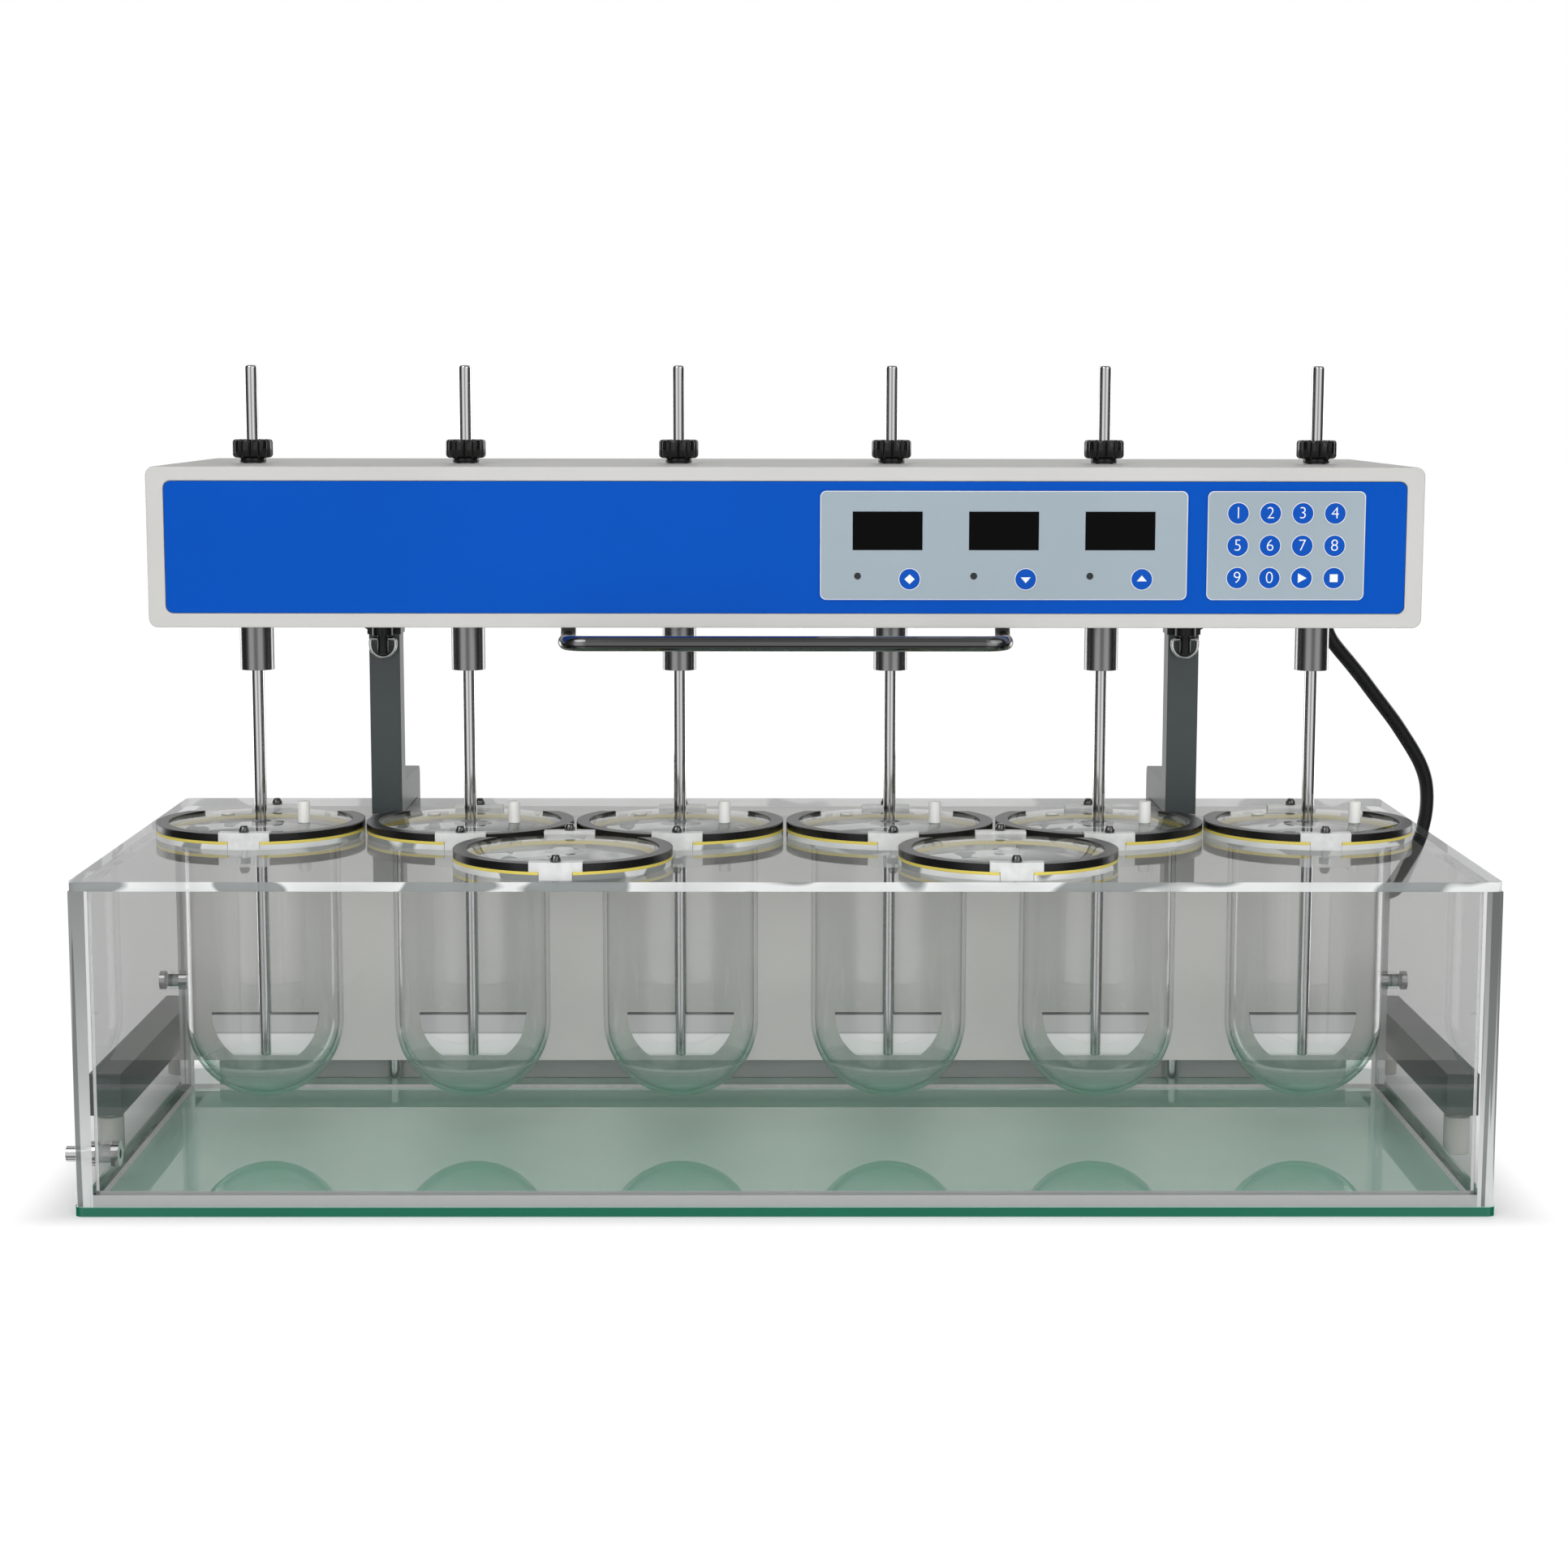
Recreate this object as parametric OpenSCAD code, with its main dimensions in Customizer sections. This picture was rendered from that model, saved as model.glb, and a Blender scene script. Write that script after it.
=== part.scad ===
// Bench dissolution tester: a clear water bath with glass vessels under a drive
// head whose spindles turn the paddles. Millimetres, +Z up, front towards -Y.
// The origin lies under the middle of the machine, on the bench.

/* [Bath] */
// Distance from an outer spindle to the tank's side face
row_end = 87.5; // [78:0.5:120]
// Distance from the spindle row to the tank's back face
row_back = 134; // [120:1:170]
// Height of the tank walls
tank_h = 203; // [195:1:230]
// Thickness of the tank walls
wall_t = 10; // [6:0.5:12]
// Depth of the rear housing, which the cover plate covers too
housing_d = 48; // [42:1:80]
// Distance from the tank's side face to the rear housing's end
housing_side = 10; // [8:1:30]
// Thickness of the cover plate
plate_t = 6; // [4:0.5:10]
// Thickness of the glass base
glass_t = 6; // [4:0.5:10]
// How far the glass base reaches past the tank
glass_lip = 2; // [1:0.5:2.5]

/* [Stations] */
// Outside diameter of a vessel
vessel_od = 108; // [95:0.5:125]
// Wall of a vessel
vessel_wall = 3; // [2:0.25:4]
// Depth of a vessel below the cover plate
vessel_drop = 184; // [170:1:188]
// Width of a vessel's flange
flange_lip = 8; // [6:0.25:12]
// Thickness of a vessel's flange and of the seat ring round it
flange_t = 3.5; // [2.5:0.25:5]
// Thickness of the gasket between the flange and the lid
gasket_t = 2; // [1:0.25:3]
// Distance from a lid's edge to the outside of its black rim ring
rim_band = 9; // [8:0.25:12]
// Height of the black rim ring
rim_h = 5; // [4:0.5:7]
// How far behind a station's middle its rim ring ends
rim_back = 42; // [30:1:50]
// Gap between the rim rings of neighbouring spindles
station_gap = 2; // [1:0.25:20]
// Gap between the rim rings of the two rows
row_clear = 0.64; // [0.5:0.02:20]
// Distance from the plate's front edge to the front rim rings
front_room = 4.5; // [2:0.25:40]
// Width of the clamp that holds the rim ring
clamp_w = 34; // [28:0.5:40]
// Width of the clamp's foot
clamp_foot_w = 21; // [14:0.5:24]
// How far a lid reaches past the flange
lid_over = 0.5; // [0:0.1:0.6]
// Thickness of a lid
lid_t = 4; // [3:0.25:5]
// Diameter of the shaft hole in a lid
lid_hole_d = 14; // [11:0.5:18]
// Height of the white stopper on a lid
stopper_h = 15; // [8:0.5:20]

/* [Drive head] */
// Height of the head's underside above the cover plate
head_clear = 151; // [150:1:170]
// Height of the head
head_h = 105; // [100:1:120]
// Depth of the head
head_d = 225; // [222:1:235]
// Distance from the head's front face to the spindles
head_front = 92; // [88:0.5:95]
// Distance from an outer spindle to the end of the head
head_end = 54.5; // [50:0.5:60]
// Sheet thickness of the head
sheet_t = 3; // [2:0.25:4]
// Width of the pale border round the front panel
border = 11.5; // [9:0.5:14]
// Width of the display overlay
display_w = 240; // [230:1:244]
// Width of the keypad overlay
keypad_w = 103; // [95:1:106]
// Height of both overlays
overlay_h = 71; // [68:0.5:76]
// Diameter of a key
key_d = 14.5; // [12:0.25:17]
// Width of the lift handle
handle_w = 297; // [200:1:400]
// Diameter of the handle's bar
handle_rod = 10; // [7:0.5:12]
// How far the handle stands in front of the head
handle_reach = 26; // [22:0.5:40]

/* [Spindles] */
// Diameter of a stirring shaft
shaft_d = 8.5; // [7:0.25:9.5]
// Height of a shaft's tip above the head
shaft_over = 66; // [50:1:90]
// Outside diameter of the sleeve below the head
sleeve_d = 23; // [20:0.5:26]
// Length of the sleeve below the head
sleeve_drop = 36; // [25:0.5:40]
// Diameter of a clamp knob
knob_d = 27; // [24:0.5:32]
// Height of a clamp knob's grip
knob_h = 12.5; // [9:0.5:16]
// Height of a paddle above the vessel's inside bottom
paddle_gap = 25; // [23:0.5:27]
// Width of a paddle's blade along its top edge
blade_w = 74.5; // [70:0.5:80]
// Height of a paddle's blade
blade_h = 30; // [19:0.5:32]
// Thickness of a paddle's blade
blade_t = 4; // [3:0.25:5]
// Diameter of the belt's run on the pulleys
pulley_d = 44; // [36:0.5:50]

/* [Frame] */
// Distance from the middle of the machine to each column
col_x = 288; // [284:0.5:292]
// Width and depth of a column
col_w = 22; // [21:0.5:26]
// Distance from the spindle row to the columns' front faces
col_back = 98; // [94:0.5:102]
// Height of the arm at a column's foot
arm_h = 22; // [18:0.5:26]
// Height of a column above the cover plate
col_h = 131; // [125:0.5:131]
// Width of the side rails
rail_w = 22; // [20:0.5:26]
// Height of the side rails
rail_h = 29; // [24:0.5:34]
// Height of the rails' undersides above the bench
rail_z = 29; // [27:0.5:34]
// Distance from the plate's front edge to the rails' front ends
rail_front = 145; // [120:1:180]
// Diameter of a levelling foot
foot_d = 18; // [14:0.5:20]
// Height of a foot's pad
foot_h = 25.5; // [20:0.5:26]
// Height of the rear housing's underside above the bench
housing_z = 24; // [18:0.5:30]
// Length of the lift posts inside the columns
lift_post = 128; // [110:1:132]

/* [Locks] */
// Diameter of a lock plunger
plunger_d = 8; // [6:0.25:9]
// Length of a plunger that shows below its collar
plunger_drop = 13; // [11:0.5:18]
// Wire diameter of a pull ring
ring_wire = 2.5; // [2:0.25:3]
// Width of a pull ring, between the middles of its legs
ring_w = 18; // [15:0.5:20]

/* [Clearances] */
// Gap between sliding or turning pieces, on each side
run_gap = 0.1; // [0.05:0.05:0.2]
// Gap between fixed pieces set side by side
set_gap = 0.3; // [0.2:0.05:0.5]

/* [Hidden] */
$fn = 64;
eps = 0.01;
// How far a cut runs past the face that it leaves
cut = 1;

// Heights
z_floor = glass_t;
z_wall_top = z_floor + tank_h;
z_plate = z_wall_top + plate_t;
z_seat = z_plate + flange_t;
z_lid = z_seat + gasket_t;
z_rim = z_lid + rim_h;
clamp_over = 1;
z_clamp = z_rim + clamp_over;
z_head = z_plate + head_clear;
z_top = z_head + head_h;

// Stations set rim to rim, and the bath round them
spindle_count = 6;
flange_od = vessel_od + 2 * flange_lip;
lid_od = flange_od + 2 * lid_over;
rim_od = lid_od + 2 * rim_band;
pitch = rim_od + station_gap;
row_gap = round(10 * sqrt(pow(rim_od + row_clear, 2) - pow(pitch / 2, 2))) / 10;
row_d = front_room + rim_od / 2 + row_gap;
tank_w = (spindle_count - 1) * pitch + 2 * row_end;
tank_d = row_d + row_back;
housing_gap = 1;
housing_w = tank_w - 2 * housing_side;
plate_d = tank_d + housing_gap + housing_d;

// Depths, counted from the plate's front edge and then moved to the middle
beam_t = 20;
beam_gap = 3;
cover_t = 2;
frame_back = plate_d + cover_t + beam_gap + beam_t;
y_front = -(frame_back - glass_lip) / 2;
y_row = y_front + row_d;
y_front_row = y_row - row_gap;
y_plate_back = y_front + plate_d;
y_head = y_row - head_front;
y_col = y_row + col_back;
y_frame_back = y_front + frame_back;

// Stations: the spindle row from left to right, then the two spare ones in front
spindle_x = [for (i = [0 : spindle_count - 1]) (i - (spindle_count - 1) / 2) * pitch];
spare_x = [-pitch, pitch];
stations = concat(
    [for (x = spindle_x) [x, y_row]],
    [for (x = spare_x) [x, y_front_row]]
);
vessel_r = vessel_od / 2;
hole_room = 2;
hole_r = vessel_r + hole_room;
flange_r = flange_od / 2;
rim_r = rim_od / 2;
rim_in_r = lid_od / 2 + set_gap;
seat_in_r = flange_r + set_gap;
clamp_in_r = max(rim_in_r, seat_in_r) + set_gap;
gasket_room = 2;
gasket_in_r = hole_r + gasket_room;
screw_r = (clamp_in_r + rim_r) / 2;
screw_d = 4;
screw_bore = screw_d + 2 * run_gap;
screw_head_d = 7;
screw_head_h = 5;
nut_d = 8;
nut_h = 4;
slit_w = 1.2;
slit_angle = 207;
stopper_d = 8.3;
stopper_stem_d = 6;
stopper_at = [31, -8];
plug_d = 9;
plug_h = 1;
plug_at = [-29, 33];
z_vessel = z_plate - vessel_drop;
z_bowl = z_vessel + vessel_r;
plate_r = 5;
base_r = 6;

// Rear housing
y_housing = y_front + tank_d + housing_gap;
housing_top = z_wall_top - set_gap;
housing_t = 2;
bolt_shift = 4;
bolt_x = col_x + bolt_shift;
bolt_d = 10;
bolt_inset = 12;

// Frame
rail_gap = 0.5;
rail_in = tank_w / 2 + glass_lip + rail_gap;
rail_out = rail_in + rail_w;
foot_x = rail_in + rail_w / 2;
foot_inset = 15;
stud_d = 8;
upright_w = col_w;
arm_r = 6;
z_arm = z_plate + set_gap;
z_col = z_plate + col_h;
col_wall = 3;
post_w = col_w - 2 * col_wall;
post_stop = 4;
y_post = y_col + col_w / 2;

// Head
head_w = (spindle_count - 1) * pitch + 2 * head_end;
head_r = 6;
head_in_r = 4;
front_t = 4;
panel_t = 2;
panel_w = head_w - 2 * border;
border_trim = 2;
panel_h = head_h - 2 * (border - border_trim);
panel_r = 5;
ledge_r = 3;
panel_ledge = 8;
overlay_t = 1.2;
overlay_r = 4;
window_w = 45.5;
window_h = 25;
window_t = 1;
window_step = 76;
window_up = 9.5;
key_step = 21.1;
key_lift = 0.35;
key_shift = 14.5;
key_down = 22;
overlay_gap = 13;
keypad_inset = 90;
overlay_up = 1.5;
handle_gap = 3;
handle_in = 17;
keypad_x = head_w / 2 - keypad_inset;
display_x = keypad_x - keypad_w / 2 - overlay_gap - display_w / 2;
overlay_z = z_head + head_h / 2 + overlay_up;
y_overlay = y_head + set_gap;

// Spindles, their bearings and the belt
bearing_d = 28;
bearing_flange_d = 38;
bearing_h = 9;
spindle_d = 14;
spindle_over = 12;
pulley_up = 34;
shaft_bore = shaft_d + 2 * run_gap;
z_sleeve = z_head - sleeve_drop;
z_spindle_top = z_top + spindle_over;
z_pulley = z_head + pulley_up;
pulley_h = 12;
pulley_lip = 1.5;
pulley_rim = 5;
belt_t = 1.5;
knob_neck_d = 18;
knob_neck_h = 3.2;
z_knob = z_top + set_gap;
knob_flutes = 12;
z_blade = z_vessel + vessel_wall + paddle_gap;
motor_w = 57;
motor_shaft_d = 8;

// Locks
collar_over = 1;
collar_w = col_w + 2 * collar_over;
collar_gap = 3;
z_collar_top = z_head - collar_gap;
plunger_out = 8;
plunger_stop = 5;
boss_wall = 3.5;
boss_d = plunger_d + 2 * boss_wall;
y_plunger = y_col - plunger_out;
z_plunger = z_col - plunger_drop;
ring_gap = 1.5;
z_ring = z_col - ring_wire / 2 - ring_gap;
ring_drop = 4;
ring_bend = 2;
ring_end = 1;

// Lead between the head and the rear housing: its middle line from the gland
// under the head to the gland in the housing's right end, moved with both ends
lead_d = 10;
lead_in = 2;
gland_d = 17;
gland_h = 8;
gland_side = 23;
gland_back = 12;
gland_front = 22;
gland_up = 122;
lead_shape = [
    [394, 118, 364],
    [394, 118, 356.5],
    [395.3, 118.5, 349],
    [399, 120, 341],
    [404.5, 122, 334],
    [414, 126, 323.5],
    [424, 130, 312],
    [433, 134, 301],
    [443, 138.5, 289],
    [452, 142.5, 278],
    [460, 146, 267],
    [468, 149.5, 255.5],
    [474.5, 152.5, 244.5],
    [479, 155, 233],
    [481, 157, 221],
    [481, 158, 209],
    [479.5, 159, 198],
    [477, 160, 187],
    [473.5, 160, 176.5],
    [469, 159.5, 166],
    [464, 158.5, 155],
    [460.3, 158, 149.7],
    [455.5, 158, 147],
    [450, 158, 146],
    [442, 158, 146]
];
lead_sides = 10;
lead_start = [head_w / 2 - gland_side, y_head + head_d - gland_back, z_head - lead_in];
lead_end = [housing_w / 2 + lead_in, y_plate_back - gland_front, housing_z + gland_up];
lead_last = len(lead_shape) - 1;
lead_route = [for (i = [0 : lead_last])
    lead_shape[i]
        + (1 - i / lead_last) * (lead_start - lead_shape[0])
        + i / lead_last * (lead_end - lead_shape[lead_last])];

// A box from its lowest to its highest corner
module block(low, high) {
    translate(low) cube(high - low);
}

// A rectangle with round corners, centred
module round_rect(w, h, r) {
    square([w - 2 * r, h], center = true);
    square([w, h - 2 * r], center = true);
    for (sx = [-1, 1], sz = [-1, 1])
        translate([sx * (w / 2 - r), sz * (h / 2 - r)]) circle(r);
}

// A flat ring standing on z
module ring(r_in, r_out, z, h) {
    translate([0, 0, z]) difference() {
        cylinder(h = h, r = r_out);
        translate([0, 0, -cut]) cylinder(h = h + 2 * cut, r = r_in);
    }
}

// An upright plate that faces the front, from y backwards
module facing(y, t) {
    translate([0, y + t, 0]) rotate([90, 0, 0]) linear_extrude(t) children();
}

// A copy at each station
module at_stations() {
    for (s = stations) translate([s[0], s[1], 0]) children();
}

// The same shape at the left and at the right
module both_sides() {
    for (side = [-1, 1]) mirror([side < 0 ? 1 : 0, 0, 0]) children();
}

module base_glass() {
    w = tank_w + 2 * glass_lip;
    d = plate_d + 2 * glass_lip;
    color([0.25, 0.55, 0.47])
        translate([0, y_front - glass_lip + d / 2, 0]) linear_extrude(glass_t) round_rect(w, d, base_r);
}

// Where the drain and the two circulation ports pass through the walls
drain_d = 12;
drain_bore = 6;
drain_collar_d = 16;
drain_collar_t = 6;
drain_nut_t = 5;
drain_nut_d = 17;
spigot_d = 10;
spigot_l = 14;
port_cap_d = 13.5;
port_cap_t = 4;
port_nose = 7;
drain_in = 60;
drain_up = 19;
drain_y = y_front + drain_in;
drain_z = z_floor + drain_up;
port_d = 9;
port_in = 44;
port_up = 88;
port_y = y_front + tank_d - port_in;
port_z = z_floor + port_up;

module water_tank() {
    half = tank_w / 2;
    color([0.85, 0.87, 0.88, 0.4]) difference() {
        block([-half, y_front, z_floor], [half, y_front + tank_d, z_wall_top]);
        block(
            [-half + wall_t, y_front + wall_t, z_floor - cut],
            [half - wall_t, y_front + tank_d - wall_t, z_wall_top + cut]
        );
        translate([-half - cut, drain_y, drain_z])
            rotate([0, 90, 0]) cylinder(h = wall_t + 2 * cut, d = drain_d);
        both_sides() translate([half - wall_t - cut, port_y, port_z])
            rotate([0, 90, 0]) cylinder(h = wall_t + 2 * cut, d = port_d);
    }
}

module cover_plate() {
    color([0.88, 0.9, 0.9, 0.4]) difference() {
        translate([0, y_front + plate_d / 2, z_wall_top])
            linear_extrude(plate_t) round_rect(tank_w, plate_d, plate_r);
        at_stations() translate([0, 0, z_wall_top - cut]) {
            cylinder(h = plate_t + 2 * cut, r = hole_r);
            clamp_places() cylinder(h = plate_t + 2 * cut, d = screw_bore);
        }
    }
}

// Housing of the heater and the circulation pump behind the tank
module rear_housing() {
    half = housing_w / 2;
    color([0.8, 0.81, 0.81]) {
        difference() {
            union() {
                block([-half, y_housing, housing_z], [half, y_plate_back, housing_top]);
                translate([half - eps, lead_end[1], lead_end[2]]) rotate([0, 90, 0])
                    cylinder(h = gland_h + eps, d = gland_d);
            }
            block(
                [-half + housing_t, y_housing + housing_t, housing_z + housing_t],
                [half - housing_t, y_plate_back + cut, housing_top - housing_t]
            );
            translate([half - housing_t - cut, lead_end[1], lead_end[2]]) rotate([0, 90, 0])
                cylinder(h = gland_h + housing_t + 2 * cut, d = lead_d + 2 * run_gap);
        }
    }
}

inlet_x = 190;
inlet_z = 110;
inlet_w = 48;
inlet_h = 28;
inlet_lip = 2;
inlet_deep = 18;
inlet_r = 3;
inlet_body_w = inlet_w - 2 * inlet_lip;
inlet_body_h = inlet_h - 2 * inlet_lip;
socket_w = 22;
socket_h = 17;
socket_deep = 14;
rocker_w = 13;
rocker_h = 20;
rocker_x = 11;
rocker_well = 16;
rocker_tilt = 8;
rocker_pivot = 4;
rocker_out = 8;
rocker_back = 6;
rocker_dish = 14;
vent_w = 3;
vent_h = 50;
vent_step = 8;
vent_count = 12;
vent_x = [-150, 30];

module rear_cover() {
    half = housing_w / 2;
    color([0.78, 0.79, 0.79]) difference() {
        block([-half, y_plate_back, housing_z], [half, y_plate_back + cover_t, housing_top]);
        translate([inlet_x, 0, inlet_z]) facing(y_plate_back - cut, cover_t + 2 * cut)
            square([inlet_body_w, inlet_body_h], center = true);
        for (x = vent_x, i = [0 : vent_count - 1])
            translate([x + (i - (vent_count - 1) / 2) * vent_step, 0, inlet_z])
                facing(y_plate_back - cut, cover_t + 2 * cut) round_rect(vent_w, vent_h, vent_w / 3);
    }
}

// Pump with its heating tube, standing on the housing's floor
module bath_heater() {
    pump_d = 34;
    pump_h = 60;
    pump_x = -120;
    tube_gap = 1;
    tube_w = 22;
    tube_l = 162;
    tube_x = pump_x + pump_d / 2 + tube_gap;
    tube_bore = 14;
    y_mid = y_housing + housing_d / 2;
    z = housing_z + housing_t;
    color([0.3, 0.31, 0.33]) {
        translate([pump_x, y_mid, z]) cylinder(h = pump_h, d = pump_d);
        difference() {
            block([tube_x, y_mid - tube_w / 2, z], [tube_x + tube_l, y_mid + tube_w / 2, z + tube_w]);
            translate([tube_x - cut, y_mid, z + tube_w / 2])
                rotate([0, 90, 0]) cylinder(h = tube_l + 2 * cut, d = tube_bore);
        }
    }
}

// Side rails, rear beam and the uprights that carry the columns
module base_frame() {
    y_beam = y_frame_back - beam_t;
    color([0.33, 0.37, 0.39]) {
        block([-rail_out, y_beam, rail_z], [rail_out, y_frame_back, rail_z + rail_h]);
        both_sides() {
            block([rail_in, y_front + rail_front, rail_z], [rail_out, y_beam + eps, rail_z + rail_h]);
            block(
                [col_x - upright_w / 2, y_beam, rail_z + rail_h - eps],
                [col_x + upright_w / 2, y_frame_back, z_arm]
            );
        }
    }
}

// Side view of an arm: straight from the column, round at its upper back corner
module arm_outline() {
    y_arm = y_col + col_w - eps;
    length = y_frame_back - y_arm;
    translate([y_arm, 0]) {
        square([length, arm_h - arm_r]);
        square([length - arm_r, arm_h]);
        translate([length - arm_r, arm_h - arm_r]) circle(arm_r);
    }
}

// Column with its arm, which runs back over the cover plate to the upright
module column() {
    half = col_w / 2;
    difference() {
        union() {
            block([-half, y_col, z_arm], [half, y_col + col_w, z_col]);
            translate([-half, 0, z_arm]) rotate([90, 0, 90]) linear_extrude(col_w) arm_outline();
        }
        translate([0, y_post, z_arm + post_stop + (z_col - z_arm) / 2])
            cube([post_w + 2 * run_gap, post_w + 2 * run_gap, z_col - z_arm], center = true);
    }
}

module support_columns() {
    color([0.33, 0.37, 0.39]) both_sides() translate([col_x, 0, 0]) column();
}

module levelling_feet() {
    foot_y = [y_front + rail_front + foot_inset, y_frame_back - beam_t / 2];
    color([0.93, 0.93, 0.91]) both_sides() for (y = foot_y) translate([foot_x, y, 0]) {
        cylinder(h = foot_h, d = foot_d);
        translate([0, 0, foot_h - eps]) cylinder(h = rail_z - foot_h + eps, d = stud_d);
    }
}

// Drain, circulation ports and the bolts under the rear housing
module tank_fittings() {
    half = tank_w / 2;
    color([0.75, 0.76, 0.77]) {
        translate([-half, drain_y, drain_z]) rotate([0, 90, 0]) difference() {
            union() {
                translate([0, 0, -spigot_l - drain_collar_t]) cylinder(h = spigot_l + eps, d = spigot_d);
                translate([0, 0, -drain_collar_t]) cylinder(h = drain_collar_t, d = drain_collar_d);
                translate([0, 0, -eps]) cylinder(h = wall_t + 2 * eps, d = drain_d - 2 * run_gap);
                translate([0, 0, wall_t]) cylinder(h = drain_nut_t, d = drain_nut_d);
            }
            translate([0, 0, -spigot_l - drain_collar_t - cut])
                cylinder(h = spigot_l + drain_collar_t + wall_t + drain_nut_t + 2 * cut, d = drain_bore);
        }
        both_sides() translate([half, port_y, port_z]) rotate([0, -90, 0]) {
            translate([0, 0, -port_cap_t]) cylinder(h = port_cap_t, d = port_cap_d);
            translate([0, 0, -eps]) cylinder(h = wall_t + 2 * eps, d = port_d - 2 * run_gap);
            translate([0, 0, wall_t]) cylinder(h = port_nose, d = port_cap_d);
        }
        for (x = [-bolt_x, bolt_x], y = [y_housing + bolt_inset, y_plate_back - bolt_inset])
            translate([x, y, z_floor]) cylinder(h = housing_z - z_floor, d = bolt_d);
    }
}

// The two clamp places of a station, at its front and at its back
module clamp_places() {
    for (turn = [0, 180]) rotate(turn) translate([0, -screw_r, 0]) children();
}

// A slot across a station's ring at the clamps, w wide, outside r
module clamp_slots(w, r, z, h) {
    for (side = [-1, 1]) translate([-w / 2, side > 0 ? r : -rim_r - cut, z])
        cube([w, rim_r + cut - r, h]);
}

module seat_rings() {
    foot_slot = clamp_foot_w + 2 * set_gap;
    color([0.86, 0.88, 0.88, 0.5]) at_stations() difference() {
        ring(seat_in_r, rim_r, z_plate, flange_t);
        clamp_slots(foot_slot, seat_in_r / 2, z_plate - cut, flange_t + 2 * cut);
    }
}

module gaskets() {
    foot_slot = clamp_foot_w + 2 * set_gap;
    slot_in = sqrt(pow(clamp_in_r, 2) - pow(foot_slot / 2, 2)) - set_gap;
    color([0.85, 0.8, 0.45]) at_stations() difference() {
        ring(gasket_in_r, rim_r, z_seat, gasket_t);
        clamp_slots(foot_slot, slot_in, z_seat - cut, gasket_t + 2 * cut);
    }
}

module rim_rings() {
    bar_slot = clamp_w + 2 * set_gap;
    color([0.06, 0.06, 0.06]) at_stations() difference() {
        ring(rim_in_r, rim_r, z_lid, rim_h);
        clamp_slots(bar_slot, rim_in_r / 2, z_lid - cut, rim_h + 2 * cut);
        block([-rim_r - cut, rim_back, z_lid - cut], [rim_r + cut, rim_r + cut, z_rim + cut]);
    }
}

// Part of a station's ring between its clamp's sides
module clamp_sector(w, z, h) {
    intersection() {
        ring(clamp_in_r, rim_r, z, h);
        translate([-w / 2, -rim_r - cut, z]) cube([w, rim_r, h]);
    }
}

module rim_clamps() {
    color([0.9, 0.92, 0.92, 0.5]) at_stations() for (turn = [0, 180]) rotate(turn) difference() {
        union() {
            clamp_sector(clamp_w, z_lid, z_clamp - z_lid);
            clamp_sector(clamp_foot_w, z_plate, z_lid - z_plate + eps);
        }
        translate([0, -screw_r, z_plate - cut])
            cylinder(h = z_clamp - z_plate + 2 * cut, d = screw_bore);
    }
}

// Screws of the clamps, with nuts under the spindle row's stations
module clamp_screws() {
    color([0.25, 0.25, 0.26]) {
        at_stations() clamp_places() {
            translate([0, 0, z_wall_top]) cylinder(h = z_clamp - z_wall_top + eps, d = screw_d);
            translate([0, 0, z_clamp]) cylinder(h = screw_head_h, d = screw_head_d);
        }
        for (x = spindle_x) translate([x, y_row, z_wall_top - nut_h])
            clamp_places() cylinder(h = nut_h + eps, d = nut_d);
    }
}

module vessel() {
    inner_r = vessel_r - vessel_wall;
    difference() {
        union() {
            translate([0, 0, z_plate]) cylinder(h = flange_t, r = flange_r);
            translate([0, 0, z_bowl]) cylinder(h = z_seat - z_bowl, r = vessel_r);
            translate([0, 0, z_bowl]) sphere(vessel_r);
        }
        translate([0, 0, z_bowl]) cylinder(h = z_seat - z_bowl + cut, r = inner_r);
        translate([0, 0, z_bowl]) sphere(inner_r);
    }
}

module vessels() {
    color([0.85, 0.93, 0.9, 0.35]) for (x = spindle_x) translate([x, y_row, 0]) vessel();
}

// Guide collar on a column, with its plunger's barrel, a lug and a hook
module lock_collar() {
    half = collar_w / 2;
    h = z_collar_top - z_col;
    lug_in = 2;
    y_lug = y_col + lug_in;
    lug_w = 8;
    lug_t = 7;
    lug_taper = 3;
    hook_w = 9;
    hook_h = 12;
    hook_t = 4;
    barrel_roof = 3;
    difference() {
        union() {
            block(
                [-half, y_col - collar_over, z_col],
                [half, y_col + col_w + collar_over, z_collar_top]
            );
            translate([0, y_plunger, z_col]) cylinder(h = h, d = boss_d);
            block([-boss_d / 2, y_plunger, z_col], [boss_d / 2, y_col, z_collar_top]);
            translate([half - eps, y_lug, z_collar_top]) rotate([-90, 0, 0])
                linear_extrude(lug_t) polygon([
                    [0, 0], [lug_w, 0], [lug_w - lug_taper, h - 2 * lug_taper], [0, h - lug_taper]
                ]);
            translate([-half + eps, y_lug + lug_t, z_collar_top - hook_h]) rotate([90, 0, 0])
                linear_extrude(lug_t) polygon([
                    [0, 0], [-hook_w, 0], [-hook_w, hook_h], [-hook_w + hook_t, hook_h],
                    [-hook_w + hook_t, hook_t], [0, hook_t]
                ]);
        }
        translate([0, y_post, z_col + h / 2])
            cube([post_w + 2 * run_gap, post_w + 2 * run_gap, h + 2 * cut], center = true);
        translate([0, y_plunger, z_col - cut])
            cylinder(h = h - barrel_roof + cut, d = plunger_d + 2 * run_gap);
    }
}

module lock_collars() {
    color([0.07, 0.07, 0.07]) both_sides() translate([col_x, 0, 0]) lock_collar();
}

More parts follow.
